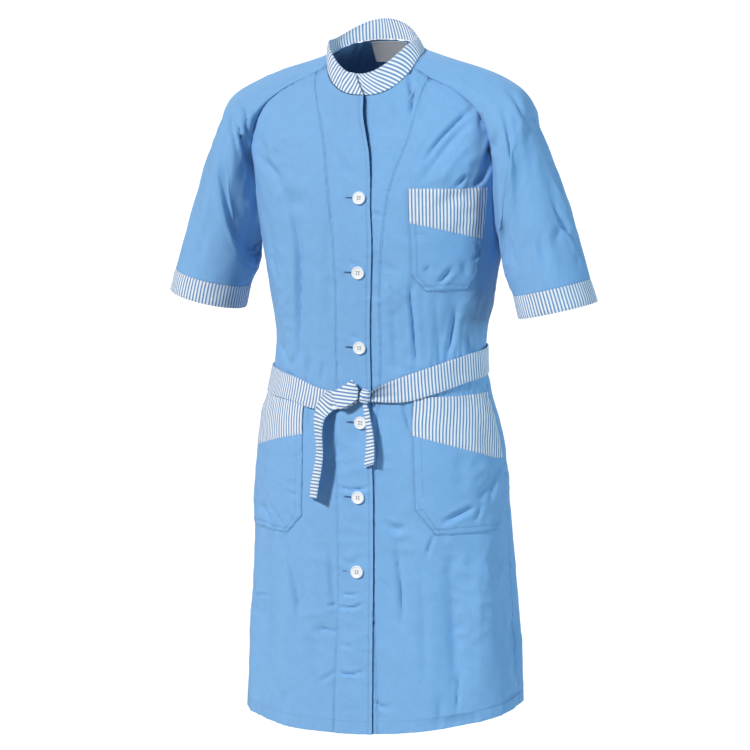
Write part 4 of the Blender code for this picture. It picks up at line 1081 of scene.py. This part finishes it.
def sleeveSheet(around, ring, side, out=0.0):
    # Points and normals of the folded sleeve; at the armhole the normal turns to the coat's.
    def plain(a, r):
        return plainSleeve(a, r, side)

    def folded(a, r):
        r = np.clip(r, 0, sleeveForm["lastRing"])
        relief = side * sleeveRelief(a, r, side)
        return plain(a, r) + relief[..., None] * normals(plain, a, r, 0.002, 0.01)

    around, ring = np.broadcast_arrays(around[None, :], ring[:, None])
    normal = -side * normals(folded, around, ring, 0.004, 0.02)
    angle, level = armholePoint(around % 1.0)
    seamNormal = coatNormal(side * angle, level)
    mix = soften(ring, 0.0, 0.35)[..., None]
    normal = seamNormal * (1 - mix) + normal * mix
    normal = normal / np.linalg.norm(normal, axis=-1, keepdims=True)
    p, q = around * sleeveForm["girth"], ring * sleeveForm["ringStep"]
    form = reliefForm["sleeveSoft"]
    fine = form["rise"] * ripple(p, q, form["size"], 1.9 + side)
    fine = fine + form["fineRise"] * ripple(p, q, form["fineSize"], 0.7 + side)
    form = reliefForm["sleeveCrumples"]
    patches = soften(ripple(p, q, form["patchSize"], 4.4 + side), -0.3, 0.6)
    fine = fine + form["rise"] * crumples(p, q, side) * patches * soften(ring, 5.2, 4.4)
    points = folded(around, ring)
    creased = frontCreases(points, normal) * soften(ring, 0.0, 0.15)
    creased = creased * soften(ring, sleeveForm["cuffRing"] + 0.1, 4.6)
    fine = fine * soften(ring, 0.0, 0.5) + out + creased
    outer = points + fine[..., None] * normal
    return (outer[:, ::-1], normal[:, ::-1]) if side > 0 else (outer, normal)


def finePlaces(start, stop, step, scale, startStyle, stopStyle):
    # Places from start to stop with the edges' steps at both ends, all divided by scale.
    low, high = start + edgeSteps(startStyle) / scale, stop - edgeSteps(stopStyle)[::-1] / scale
    count = max(3, round((high[0] - low[-1]) * scale / step))
    return np.concatenate([low, np.linspace(low[-1], high[0], count + 2)[1:-1], high])


def sleeveHalf(side, word, half):
    # Half a sleeve, from the underarm seam to the seam over the shoulder.
    ends = (0.0, 0.5) if half == "front" else (0.5, 1.0)
    step = sleeveForm["rowStep"]
    around = finePlaces(*ends, step, sleeveForm["girth"], "seam", "seam")
    ring = finePlaces(0.0, sleeveForm["cuffRing"], step, sleeveForm["ringStep"], "topstitched", "seam")
    outer, normal = sleeveSheet(around, ring, side)
    styles = {"left": "seam", "right": "seam", "low": "topstitched", "high": "seam"}
    node = f"sleeve_{word}_{half}"
    clothPiece("cloth_" + node, node, outer, normal, styles, blueCloth, 3.1 + side,
               bodyForm["cloth"], middle=24)


def cuff(side, word):
    # Striped band round the sleeve's end; its stripes run along the arm.
    around = finePlaces(0.0, 1.0, 0.004, sleeveForm["girth"], "seam", "seam")
    ring = finePlaces(sleeveForm["cuffRing"], sleeveForm["lastRing"], 0.003, sleeveForm["cuffWidth"],
                      "trimTop", "trimTop")
    outer, normal = sleeveSheet(around, ring, side, sleeveForm["cuffOut"])
    across, along = lengths(outer)
    flat = np.stack([np.broadcast_to(across[-1:], across.shape), along], -1)
    styles = {"left": "seam", "right": "seam", "low": "trimTop", "high": "trimTop"}
    clothPiece("cloth_cuff_" + word, "cuff_" + word, outer, normal, styles, stripedCloth,
               5.5 + side, sleeveForm["cuffThick"],
               flat=flat)


for side, word in ((-1, "right"), (1, "left")):
    sleeveHalf(side, word, "front")
    sleeveHalf(side, word, "back")
    cuff(side, word)
print("sleeves made")


# Stand collar and its label
collarForm = {
    "top": {"zFront": -0.010, "zSide": 0.036, "zBack": 0.066, "halfWidth": 0.0640, "yFront": -0.0775,
            "yBack": 0.047, "lean": -0.0120, "square": 2.05, "tilt": 0.0, "bend": 2.0},
    "lap": 0.0010,
    "thick": 0.0018,
    "crown": 0.0008,
    "lean": (0.98, 0.70),  # how far the stripes lean, wearer's left and right
    "leanReach": 0.21,
}


def collarGrid(angle, up):
    # Straight run from the neck seam to the top ring, its ends slanted and the right one lifted.
    rightEnd = soften(angle, 318, 343)
    leftEnd = 1 - soften(angle, 2, 24)
    angle = angle + np.where(angle > 180, -5.0, 2.0) * up * (rightEnd + leftEnd)
    away = np.stack([np.sin(np.radians(angle)), -np.cos(np.radians(angle)), 0 * angle], -1)
    top = bodyForm["seamLevel"]
    lift = (frontLift(angle - 360, top) + collarForm["lap"]) * rightEnd
    seam = coat(angle, top) + lift[..., None] * coatNormal(angle, top)
    rim = oval(angle, **collarForm["top"]) + lift[..., None] * away
    outer = seam + (rim - seam) * up[..., None]
    outer[..., 2] += 0.0007 * (1 - up)
    return outer + (collarForm["crown"] * np.sin(np.pi * up))[..., None] * away, away


def collarStripes(outer):
    # Map whose U is constant along stripes that lean towards the front edges going up.
    across, along = lengths(outer)
    s = across[0] - across[0].max() * 0.514
    k = np.where(s < 0, collarForm["lean"][0], collarForm["lean"][1])
    phi = np.arctan(k * (np.abs(s) / collarForm["leanReach"]) ** 1.6)
    run = np.concatenate([[0], np.cumsum((np.cos(phi[1:]) + np.cos(phi[:-1])) / 2 * np.diff(s))])
    return np.stack([run[None] - np.sign(s) * along * np.sin(phi), along], -1)


def collar():
    top = bodyForm["seamLevel"]
    start = -float(angleAt(bodyForm["underlap"], top))
    end = 360 + float(angleAt(curve(bodyForm["openEdge"], 1, top), top))
    perMetre = float(perMetreAt(180.0, top))
    angle = finePlaces(start, end, 0.0035, 1 / perMetre, "trimTop", "trimTop")
    up = finePlaces(0.0, 1.0, 0.003, 0.034, "seam", "trimTop")
    angle, up = np.broadcast_arrays(angle[None, :], up[:, None])
    outer, away = collarGrid(angle, up)
    styles = {"left": "trimTop", "right": "trimTop", "low": "seam", "high": "trimTop"}
    clothPiece("cloth_collar", "collar", outer, away, styles, stripedCloth, 6.1,
               collarForm["thick"], flat=collarStripes(outer))


labelForm = {"half": 0.027, "low": -0.0205, "high": -0.0010, "inside": 0.0017, "thick": 0.0005,
             "bow": 0.0007}


def label():
    # Bare tape inside the back of the neck, held by its upper edge.
    out = np.linspace(labelForm["half"], -labelForm["half"], 30)[None, :]
    level = np.linspace(labelForm["low"], labelForm["high"], 16)[:, None]
    angle = 180 - angleAt(out, level)
    level = level + 0 * angle
    normal = coatNormal(angle, level)
    outer = coat(angle, level) - labelForm["inside"] * normal
    loose = 1 - soften(level, labelForm["low"], labelForm["high"])
    bow = labelForm["bow"] * (1 - (out / labelForm["half"]) ** 2) * loose
    outer = outer - bow[..., None] * normal
    clothPiece("tape_label", "label", outer, normal, {"high": "fold"}, whiteTape, 7.7,
               labelForm["thick"])


collar()
label()
print("collar made")


# Patch pockets with slanted striped tops
pocketForm = {
    "facing": math.radians(52),
    "rows": (
        # name, side, outTop, outLow, farAngle, top, trimNear, trimFar, bottom, bevelOut, bevelUp
        ("chest_pocket", 1, 0.0755, 0.0775, 66.5, -0.1670, -0.2150, -0.2400, -0.3110, 0.016, 0.022),
        ("hip_pocket_left", 1, 0.0780, 0.0865, 86.0, -0.4610, -0.5150, -0.5590, -0.6560, 0.022, 0.036),
        ("hip_pocket_right", -1, 0.0830, 0.0840, 86.0, -0.4735, -0.5200, -0.5590, -0.6660, 0.022, 0.028),
    ),
    "off": 0.0007,
    "trimOff": 0.0006,  # how much further off its striped top lies
    "thick": 0.0008,
    "rowStep": 0.004,
}


def alongPocket(side):
    # Level unit vector along a pocket's width.
    facing = pocketForm["facing"]
    return np.array([side * math.cos(facing), math.sin(facing), 0])


def pocketPlace(side, reach, z):
    # Angle on the coat whose distance along the pocket is `reach` at height z, by halving.
    along = alongPocket(side)
    low, high = np.full(reach.shape, 5.0), np.full(reach.shape, 100.0)
    for _ in range(22):
        middle = (low + high) / 2
        beyond = coat(side * middle, levelAt(side * middle, z)) @ along > reach
        low, high = np.where(beyond, low, middle), np.where(beyond, middle, high)
    angle = side * (low + high) / 2
    return angle, levelAt(angle, z)


def pocket(row):
    # Grid from the near to the far edge, its lower corners cut off; the top slants.
    name, side, outTop, outLow, far, top, trimNear, trimFar, bottom, bevelOut, bevelUp = row
    along, step = alongPocket(side), pocketForm["rowStep"]

    def nearEdge(z):
        out = outLow + (outTop - outLow) * (z - bottom) / (top - bottom)
        angle = angleAt(out, levelAt(side * angleAt(out, z), z))
        return coat(side * angle, levelAt(side * angle, z)) @ along

    def farEdge(z):
        return coat(side * far + 0 * z, levelAt(side * far, z)) @ along

    wide = float(farEdge(np.array([top]))[0] - nearEdge(np.array([top]))[0])
    share = finePlaces(0.0, 1.0, step, wide, "patch", "patch")
    slant = trimNear + (trimFar - trimNear) * share
    for part, look, slotName in (("", blueCloth, "blue_cloth"),
                                 ("_trim", stripedCloth, "striped_cloth")):
        if part:
            rise = finePlaces(0.0, 1.0, step, top - trimNear, "trimTop", "trimTop")[:, None]
            z = slant + (top - slant) * rise
            styles = {"left": "patch", "right": "patch", "low": "trimTop", "high": "trimTop"}
        else:
            shoulder = bottom + bevelUp
            low = bottom + finePlaces(0.0, bevelUp, 0.003, 1.0, "patch", "none")
            rise = np.linspace(0, 1, round((trimNear - shoulder) / step))[1:, None]
            z = np.concatenate([low[:, None] + 0 * slant, shoulder + (slant + 0.002 - shoulder) * rise])
            styles = {"left": "patch", "right": "patch", "low": "patch"}
        cut = bevelOut * np.clip((bottom + bevelUp - z) / bevelUp, 0, 1)
        near, end = nearEdge(z) + cut, farEdge(z) - cut
        reach = near + (end - near) * share
        angle, level = pocketPlace(side, reach, z)
        off = pocketForm["off"] + (pocketForm["trimOff"] if part else 0.0)
        outer, normal = bodySheet(angle, level, off + pocketForm["thick"])
        flat = np.stack([lengths(outer)[0], z], -1)
        if side < 0:
            outer, normal, flat = outer[:, ::-1], normal[:, ::-1], flat[:, ::-1]
        clothPiece("cloth_" + name + part, name + part, outer, normal, styles, look,
                   8.3 + side, pocketForm["thick"],
                   flat=flat)


for row in pocketForm["rows"]:
    pocket(row)
print("pockets made")


# Belt, bow and knot
beltForm = {
    "rows": (
        # angle, zMid, halfWide, out
        (6.4, -0.4611, 0.0074, 0.0048),
        (10.0, -0.4574, 0.0112, 0.0044),
        (14.0, -0.4546, 0.0140, 0.0040),
        (22.0, -0.4500, 0.0178, 0.0036),
        (38.0, -0.4380, 0.0195, 0.0032),
        (57.0, -0.4265, 0.0195, 0.0028),
        (90.0, -0.4185, 0.0195, 0.0024),
        (135.0, -0.4210, 0.0195, 0.0022),
        (180.0, -0.4300, 0.0195, 0.0022),
        (225.0, -0.4420, 0.0195, 0.0022),
        (262.0, -0.4500, 0.0195, 0.0024),
        (300.0, -0.4545, 0.0190, 0.0034),
        (323.0, -0.4580, 0.0174, 0.0036),
        (340.0, -0.4680, 0.0152, 0.0036),
        (352.0, -0.4690, 0.0120, 0.0038),
        (360.2, -0.4640, 0.0075, 0.0040),
    ),
    "loop": (
        # upperX, upperZ, lowerX, lowerZ, out
        (0.0046, -0.4510, 0.0040, -0.4640, 0.0150),
        (0.0034, -0.4468, -0.0060, -0.4725, 0.0165),
        (0.0004, -0.4420, -0.0187, -0.4790, 0.0168),
        (-0.0022, -0.4392, -0.0275, -0.4690, 0.0162),
        (-0.0044, -0.4377, -0.0329, -0.4572, 0.0140),
        (-0.0034, -0.4405, -0.0362, -0.4670, 0.0114),
        (-0.0006, -0.4440, -0.0330, -0.4765, 0.0106),
        (0.0024, -0.4490, -0.0140, -0.4800, 0.0106),
        (0.0044, -0.4550, 0.0036, -0.4680, 0.0112),
    ),
    "tailRight": (
        # aX, aZ, aOut, bX, bZ, bOut
        (0.0036, -0.4560, 0.0082, 0.0036, -0.4680, 0.0082),
        (-0.0130, -0.4530, 0.0084, -0.0110, -0.4755, 0.0084),
        (-0.0310, -0.4530, 0.0086, -0.0240, -0.4795, 0.0086),
        (-0.0478, -0.4600, 0.0078, -0.0335, -0.4845, 0.0084),
        (-0.0571, -0.4759, 0.0070, -0.0370, -0.4905, 0.0150),
        (-0.0604, -0.4932, 0.0056, -0.0385, -0.4965, 0.0210),
        (-0.0603, -0.5100, 0.0046, -0.0398, -0.5103, 0.0240),
        (-0.0581, -0.5324, 0.0044, -0.0393, -0.5296, 0.0250),
        (-0.0578, -0.5465, 0.0044, -0.0385, -0.5445, 0.0250),
        (-0.0611, -0.5667, 0.0044, -0.0406, -0.5640, 0.0245),
        (-0.0655, -0.5886, 0.0046, -0.0444, -0.5854, 0.0240),
        (-0.0667, -0.6102, 0.0050, -0.0482, -0.6073, 0.0230),
    ),
    "tailLeft": (
        # aX, aZ, aOut, bX, bZ, bOut
        (0.0107, -0.4723, 0.0075, 0.0166, -0.4720, 0.0105),
        (0.0134, -0.4828, 0.0080, 0.0212, -0.4807, 0.0125),
        (0.0169, -0.4968, 0.0080, 0.0250, -0.4946, 0.0140),
        (0.0185, -0.5136, 0.0078, 0.0285, -0.5114, 0.0148),
        (0.0171, -0.5360, 0.0070, 0.0300, -0.5321, 0.0150),
        (0.0147, -0.5600, 0.0070, 0.0295, -0.5542, 0.0145),
    ),
    "knot": {"x": 0.0130, "z": -0.4605, "halfWide": 0.0076, "halfHigh": 0.0112, "halfDeep": 0.0065,
             "out": 0.0094, "turn": 10.0, "across": 32, "around": 48, "mapTilt": 0.012, "mapTurn": 0.008},
    "ends": (4.6, 360.2),  # angles at which the band goes into the knot
    "width": 0.039,
    "off": 0.0016,
    "pinch": 0.0010,
    "gathers": 0.0012,
    "gatherShade": 0.85,
    "tailWidth": 0.030,
    "crown": 0.0006,
    "thick": 0.0014,
}
trimEdges = {"low": "trimTop", "high": "trimTop"}


def belt():
    # Band round the waist: levels either side of its middle line, creased lengthwise at the
    # knot and gathered into it on the wearer's left.
    form = beltForm
    angle = np.linspace(*form["ends"], 254)[None, :]
    half = curve(form["rows"], 2, angle)
    wide = 2 * finePlaces(0.0, 1.0, 0.003, form["width"], "trimTop", "trimTop")[:, None] - 1
    level = curve(form["rows"], 1, angle) + half * wide
    pinch = np.exp(-((angle - 5) / 12) ** 2) + np.exp(-((angle - 360) / 16) ** 2)
    crease = form["pinch"] * np.cos(2.5 * np.pi * wide) * pinch
    gathers = np.exp(-((angle - 5) / 9) ** 2) * soften(wide + 0.04 * (angle - 5), -0.7, 0.3)
    crease = crease - form["gathers"] * gathers * (1 + np.cos(5.0 * np.pi * wide + 0.3 * angle)) / 2
    out = curve(form["rows"], 3, angle) + form["off"] + crease
    angle = angle + 0 * wide
    normal = coatNormal(angle, level)
    uneven = 0.0004 * ripple(angle * bodyForm["metresPerDegree"], level, 0.040, 2.2)
    outer = coat(angle, level) + (out + uneven)[..., None] * normal
    across, along = lengths(outer)
    flat = np.stack([np.broadcast_to(across[len(across) // 2], across.shape), along], -1)
    clothPiece("cloth_belt", "belt", outer, normal, trimEdges, stripedCloth, 9.1,
               form["thick"], flat=flat,
               under=form["gatherShade"] * gathers)


def onCoat(x, z, out):
    # Point above the coat's front, `out` off its surface.
    angle = angleAt(x, z)
    return coat(angle, z) + out[..., None] * coatNormal(angle, z)


def strip(name, node, edges, steps, seed, fall=None):
    # Strip between two edges that run smoothly through a table's rows, with a soft crown. Its
    # stripes cross it square; with `fall` they lean by an angle as far as a share of its length.
    rows = np.column_stack([np.arange(len(edges)), np.asarray(edges, float)])
    at = np.linspace(0, len(edges) - 1, steps)
    aX, aZ, aOut, bX, bZ, bOut = (curve(rows, column, at)[None, :] for column in range(1, 7))
    share = finePlaces(0.0, 1.0, 0.003, beltForm["tailWidth"], "trimTop", "trimTop")[:, None]
    a, b = onCoat(aX, aZ, aOut), onCoat(bX, bZ, bOut)
    middle = a + (b - a) * share[..., None]
    along = np.gradient(middle, axis=1)
    normal = np.cross(np.broadcast_to(b - a, along.shape), along)
    normal /= np.linalg.norm(normal, axis=-1, keepdims=True)
    middle = middle + (beltForm["crown"] * np.sin(np.pi * share) - 0.0002)[..., None] * normal
    outer, normal = (middle + beltForm["thick"] / 2 * normal)[::-1], normal[::-1]
    across, down = lengths(outer)
    flat = np.stack([np.broadcast_to(across[len(across) // 2], across.shape), down], -1)
    if fall is not None:
        lean, until = fall
        level = outer[..., 2] * math.cos(lean) + outer[..., 0] * math.sin(lean)
        step, mid = round(min(until, 1.0) * (steps - 1)), len(down) // 2
        mix = soften(np.arange(steps) / (steps - 1), until - 0.12, until + 0.12)
        arc = level[mid, step] - (across[mid] - across[mid, step])
        flat = np.stack([level * (1 - mix) + arc * mix, down], -1)
    clothPiece(name, node, outer, normal, trimEdges, stripedCloth, seed,
               beltForm["thick"], flat=flat)


def knot():
    # Superellipsoid with wrapped ridges: radius swells by a sine of height and turn.
    form = beltForm["knot"]
    rows, columns = form["across"] + 1, form["around"] + 1
    turn = np.linspace(0, 2 * np.pi, columns)[None, :]
    tilt = np.linspace(-np.pi / 2, np.pi / 2, rows)[:, None]
    x, y, z = np.cos(tilt) * np.cos(turn), np.cos(tilt) * np.sin(turn), np.sin(tilt) + 0 * turn
    unit = np.stack([x, y, z], -1)
    unit = np.sign(unit) * np.abs(unit) ** 0.85
    swell = 1 + 0.05 * np.cos(9 * z + 3 * x) + 0.03 * np.cos(5 * x - 4 * z)
    point = unit * swell[..., None] * np.array([form["halfWide"], form["halfDeep"], form["halfHigh"]])
    c, s = math.cos(math.radians(form["turn"])), math.sin(math.radians(form["turn"]))
    point = np.stack([c * point[..., 0] + s * point[..., 2], point[..., 1],
                      -s * point[..., 0] + c * point[..., 2]], -1)
    place = onCoat(np.array(form["x"]), np.array(form["z"]), np.array(form["out"]))
    points = (point + place).reshape(-1, 3)
    flat = np.stack([tilt * form["mapTilt"] + 0 * turn, turn * form["mapTurn"] + 0 * tilt], -1)
    made = makeMesh("cloth_belt_knot", points, gridFaces(rows, columns), flat.reshape(-1, 2),
                    np.zeros(len(points)), stripedCloth)
    closeSeam(made)
    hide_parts("belt_knot")


belt()
loopEdges = [(upX, upZ, out, lowX, lowZ, out) for upX, upZ, lowX, lowZ, out in beltForm["loop"]]
strip("cloth_belt_loop", "belt_loop", loopEdges, 60, 9.7, (math.radians(3), 2.0))
strip("cloth_belt_tail_right", "belt_tail_right", beltForm["tailRight"], 96, 10.3, (math.radians(13), 0.30))
strip("cloth_belt_tail_left", "belt_tail_left", beltForm["tailLeft"], 44, 10.9)
knot()
print("belt made")


# Buttons, their thread and their buttonholes
buttonForm = {
    "places": (  # x, z
        (0.0071, -0.1815),
        (0.0035, -0.2855),
        (0.0031, -0.3920),
        (0.0078, -0.4987),
        (0.0048, -0.6047),
        (0.0032, -0.7115),
    ),
    "radius": 0.0092,
    "thick": 0.0030,
    "dish": 0.0009,
    "rim": 0.0026,
    "hole": 0.0010,
    "holeOut": 0.0023,
    "holeDeep": 0.0019,
    "holeShade": 0.85,
    "lift": 0.0006,
    "edge": (  # shares of the radius and of the thickness, from the middle of the underside up
        (0, 0), (0.5, 0), (0.90, 0), (0.96, 0.08), (0.99, 0.25), (1.0, 0.45), (0.995, 0.65),
        (0.97, 0.86), (0.93, 0.97)),
    "thread": 0.00017,
    "sway": 0.00016,  # between one strand of thread and the next
}
buttonholeForm = {
    "ends": (-0.0215, 0.0),  # from its button's middle
    "steps": 58,
    "rowOut": 0.00085,
    "rowHalf": 0.00060,
    "rise": 0.00030,
    "slitStart": 0.0010,
    "slitLong": 0.0190,
    "slitHalf": 0.00115,
    "slitLean": 0.0016,
    "straight": 1,  # number of the one whose slit doesn't lean
}


def buttonPlace(number):
    # Where a button sits: on the upper band at its height, square to the cloth.
    x, z = buttonForm["places"][number]
    level = levelAt(np.array(0.0), np.array(z))
    angle = angleAt(x, level)
    up = coatNormal(angle, level)
    seat = coat(angle, level) + (frontLift(angle, level) + buttonForm["lift"]) * up
    aside = np.array([1.0, 0, 0]) - up[0] * up
    aside /= np.linalg.norm(aside)
    return seat, aside, np.cross(up, aside), up


def button(number):
    # Turned disc by radius and turn; its face dips to a dish and sinks in four round wells.
    form = buttonForm
    radius = form["radius"]
    under = np.array(form["edge"])
    edge = np.stack([under[:, 0] * radius, under[:, 1] * form["thick"]], -1)
    face = np.linspace(0.90, 0.0, 66) * radius
    dish = form["thick"] - form["dish"] * soften(radius - face, form["rim"] * 0.45, form["rim"])
    profile = np.concatenate([edge, np.stack([face, dish], -1)])
    turn = np.linspace(0, 2 * np.pi, 97)[None, :]
    r, h = profile[:, :1], profile[:, 1:] + 0 * turn
    x, y = r * np.cos(turn), r * np.sin(turn)
    onFace, dark = np.arange(len(profile))[:, None] >= len(edge), np.zeros(x.shape)
    for quarter in range(4):
        heading = math.radians(45 + 90 * quarter)
        away = np.hypot(x - form["holeOut"] * math.cos(heading), y - form["holeOut"] * math.sin(heading))
        well = onFace * (1 - soften(away, form["hole"] - 0.0002, form["hole"] + 0.0001))
        h, dark = h - form["holeDeep"] * well, np.maximum(dark, form["holeShade"] * well)
    seat, aside, upward, out = buttonPlace(number)
    points = seat + x[..., None] * aside + y[..., None] * upward + h[..., None] * out
    flat = np.stack([x, y], -1).reshape(-1, 2)
    made = makeMesh(f"button_turned_{number + 1}", points.reshape(-1, 3), gridFaces(*x.shape), flat,
                    dark.ravel(), whitePlastic)
    closeSeam(made)
    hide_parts(f"button_{number + 1}")
    return seat, aside, upward, out


def tube(points, radius):
    # Round thread along a path: a ring of points square to it at every step, ends drawn in.
    sides = 8
    path = np.asarray(points, float)
    ahead = np.gradient(path, axis=0)
    ahead /= np.linalg.norm(ahead, axis=-1, keepdims=True)
    aside = np.cross(ahead, np.array([0.31, -0.2, 0.93]))
    aside /= np.linalg.norm(aside, axis=-1, keepdims=True)
    other = np.cross(ahead, aside)
    size = np.full(len(path), radius)
    size[[0, -1]] *= 0.15
    turn = np.linspace(0, 2 * np.pi, sides + 1)[:-1]
    ring = aside[:, None] * np.cos(turn)[None, :, None] + other[:, None] * np.sin(turn)[None, :, None]
    block = path[:, None] + ring * size[:, None, None]
    index = np.arange(len(path) * sides).reshape(len(path), sides)
    after = np.roll(index, -1, 1)
    faces = np.stack([index[:-1], after[:-1], after[1:], index[1:]], -1).reshape(-1, 4)
    return block.reshape(-1, 3), faces


def joined(name, parts, look):
    # Several point and face arrays as one piece.
    points, faces, count = [], [], 0
    for block, face in parts:
        points.append(block)
        faces.append(face + count)
        count += len(block)
    made = makeMesh(name, np.concatenate(points), np.concatenate(faces), None, None, look)
    return made


def buttonThread(number, seat, aside, upward, out):
    # Four strands between the holes, each a low arch from one well to the next.
    parts = []
    hole, across = buttonForm["holeOut"] * 0.7071, np.linspace(-1, 1, 9)
    for k in range(4):
        level = (-1, 1)[k % 2] * hole
        sway = (k - 1.5) * buttonForm["sway"]
        x, y = hole * across, np.full(9, level + sway)
        h = buttonForm["thick"] - buttonForm["dish"] + 0.00010 - 0.0012 * np.abs(across) ** 4
        path = seat + x[:, None] * aside + y[:, None] * upward + h[:, None] * out
        parts.append(tube(path, buttonForm["thread"]))
    joined(f"button_thread_{number + 1}", parts, whiteThread)


def onBand(x, level, off):
    # Points `off` the upper band's cloth, and their normals.
    angle = angleAt(x, level)
    up = coatNormal(angle, level)
    rise = frontLift(angle, level) + fineRelief(angle, level) + off
    return coat(angle, level) + rise[..., None] * up, up


def buttonhole(number):
    # Worked slit beside the button: a row of close thread bars above and below it, each row
    # half round across and ribbed along.
    form = buttonholeForm
    middle, z = buttonForm["places"][number]
    level = levelAt(np.array(0.0), np.array(z))
    along = middle + np.linspace(*form["ends"], form["steps"])
    ys = np.linspace(-1, 1, 7)
    ribs = 0.0001 * np.cos(np.arange(form["steps"]) * np.pi)[:, None]
    rise = form["rise"] * np.sqrt(np.clip(1 - ys**2, 0, 1)) - 0.00006 + ribs
    parts = []
    for row in (-1, 1):
        x, y = np.meshgrid(along, row * (form["rowOut"] + form["rowHalf"] * ys), indexing="ij")
        points, up = onBand(x, level + y, 0.0)
        points = points + rise[..., None] * up
        index = np.arange(points.shape[0] * points.shape[1]).reshape(points.shape[:2])
        face = np.stack([index[:-1, :-1], index[1:, :-1], index[1:, 1:], index[:-1, 1:]], -1)
        face = face.reshape(-1, 4)
        parts.append((points.reshape(-1, 3), face[:, ::-1] if row < 0 else face))
    joined(f"buttonhole_{number + 1}", parts, blueThread)
    # The slit between the two rows as painted shade: a flat uneven dark lens just above the cloth
    share = np.linspace(0, 1, 30)[:, None]
    x = middle + form["ends"][0] + form["slitStart"] + form["slitLong"] * share
    half = form["slitHalf"] * np.sin(np.pi * share) ** 0.5 * (1 + 0.3 * np.sin(40 * share))
    lean = form["slitLean"] * (share - 0.5) * (number != form["straight"])
    y = half * np.linspace(-1, 1, 3) - lean
    base, up = onBand(x + 0 * y, level + y, 0.00025)
    made = shell(f"slit_{number + 1}", base, base - 0.0002 * up, None, None, slitShade)


for number in range(len(buttonForm["places"])):
    place = button(number)
    buttonThread(number, *place)
    buttonhole(number)
print("buttons made")


# Floor, light and camera
studio = {
    "azimuth": 18.0,
    "elevation": 8.0,
    "distance": 4.0,
    "target": (-0.01241, -0.00403, -0.4467),
    "lens": 132.41,
    "floor": -2.20,
    "floorColours": ((0.40, 0.42, 0.44), (0.43, 0.45, 0.47)),
    "radii": (2.0, 10.0, 50.0, 250.0, 900.0),
    "glow": 0.74,
    "lit": (0.8, 4.6),  # the floor behind the coat is lit like a light table from here to here
    "world": (0.55, 0.78, 1.0),
    "worldStrength": 0.07,
    # azimuth, elevation, softness in degrees, strength, colour
    "key": (-27.0, 32.0, 8.0, 3.2, (1.0, 0.985, 0.965)),
    "fill": (82.0, 14.0, 24.0, 1.6, (0.62, 0.88, 1.0)),
    "rim": (200.0, 42.0, 20.0, 1.3, (1.0, 1.0, 1.0)),
}


def addFloor():
    # Pale disc far out on all sides, with a faint cloudiness; it glows behind the coat.
    count, height = 64, studio["floor"]
    turn = np.linspace(0, 2 * np.pi, count + 1)[:-1]
    points = [np.array([[0, 0, height]])]
    for radius in studio["radii"]:
        points.append(np.stack([radius * np.cos(turn), radius * np.sin(turn), 0 * turn + height], -1))
    faces = [(0, 1 + k, 1 + (k + 1) % count) for k in range(count)]
    for ring in range(len(studio["radii"]) - 1):
        first, second = 1 + count * ring, 1 + count * (ring + 1)
        faces += [(first + k, second + k, second + (k + 1) % count, first + (k + 1) % count)
                  for k in range(count)]
    mesh = bpy.data.meshes.new("floor")
    mesh.from_pydata(np.concatenate(points).tolist(), [], faces)
    material, shader, add = newMaterial("paleFloor", 0.9)
    link = material.node_tree.links.new
    place = add("ShaderNodeTexCoord").outputs["Object"]
    cloud = add("ShaderNodeTexNoise", Scale=0.8, Vector=place).outputs[0]
    link(blended(add, cloud, *studio["floorColours"]), shader.inputs["Base Color"])
    split = add("ShaderNodeSeparateXYZ", i0=place)
    glow = add("ShaderNodeMapRange", {"interpolation_type": "SMOOTHSTEP"}, i0=split.outputs[1],
               i1=studio["lit"][0], i2=studio["lit"][1], i3=0.0, i4=studio["glow"])
    shader.inputs["Emission Color"].default_value = (1, 1, 1, 1)
    link(glow.outputs[0], shader.inputs["Emission Strength"])
    mesh.materials.append(material)
    floor = bpy.data.objects.new("floor", mesh)
    bpy.context.scene.collection.objects.link(floor)


def facing(made, place, toward):
    # Puts a lamp or camera at a place and turns it to look back along `toward`.
    made.location = place
    made.rotation_mode = "QUATERNION"
    made.rotation_quaternion = (-toward).to_track_quat("-Z", "Y")
    bpy.context.scene.collection.objects.link(made)


def addSun(name):
    azimuth, elevation, softness, strength, colour = studio[name]
    lamp = bpy.data.lights.new(name, "SUN")
    lamp.energy, lamp.angle, lamp.color = strength, math.radians(softness), colour
    toward = Vector(direction(azimuth, elevation))
    facing(bpy.data.objects.new(name, lamp), 3 * toward, toward)


def addCamera():
    back = Vector(direction(studio["azimuth"], studio["elevation"]))
    data = bpy.data.cameras.new("camera")
    data.lens, data.sensor_width = studio["lens"], 36.0
    data.clip_start, data.clip_end = 0.1, 2000.0
    camera = bpy.data.objects.new("camera", data)
    facing(camera, Vector(studio["target"]) + back * studio["distance"], back)
    bpy.context.scene.camera = camera


addCamera()
addFloor()
world = bpy.data.worlds.new("studio")
world.use_nodes = True
world.node_tree.nodes["Background"].inputs[0].default_value = (*studio["world"], 1)
world.node_tree.nodes["Background"].inputs[1].default_value = studio["worldStrength"]
bpy.context.scene.world = world
for name in ("key", "fill", "rim"):
    addSun(name)
bpy.context.scene.view_settings.view_transform = "Standard"
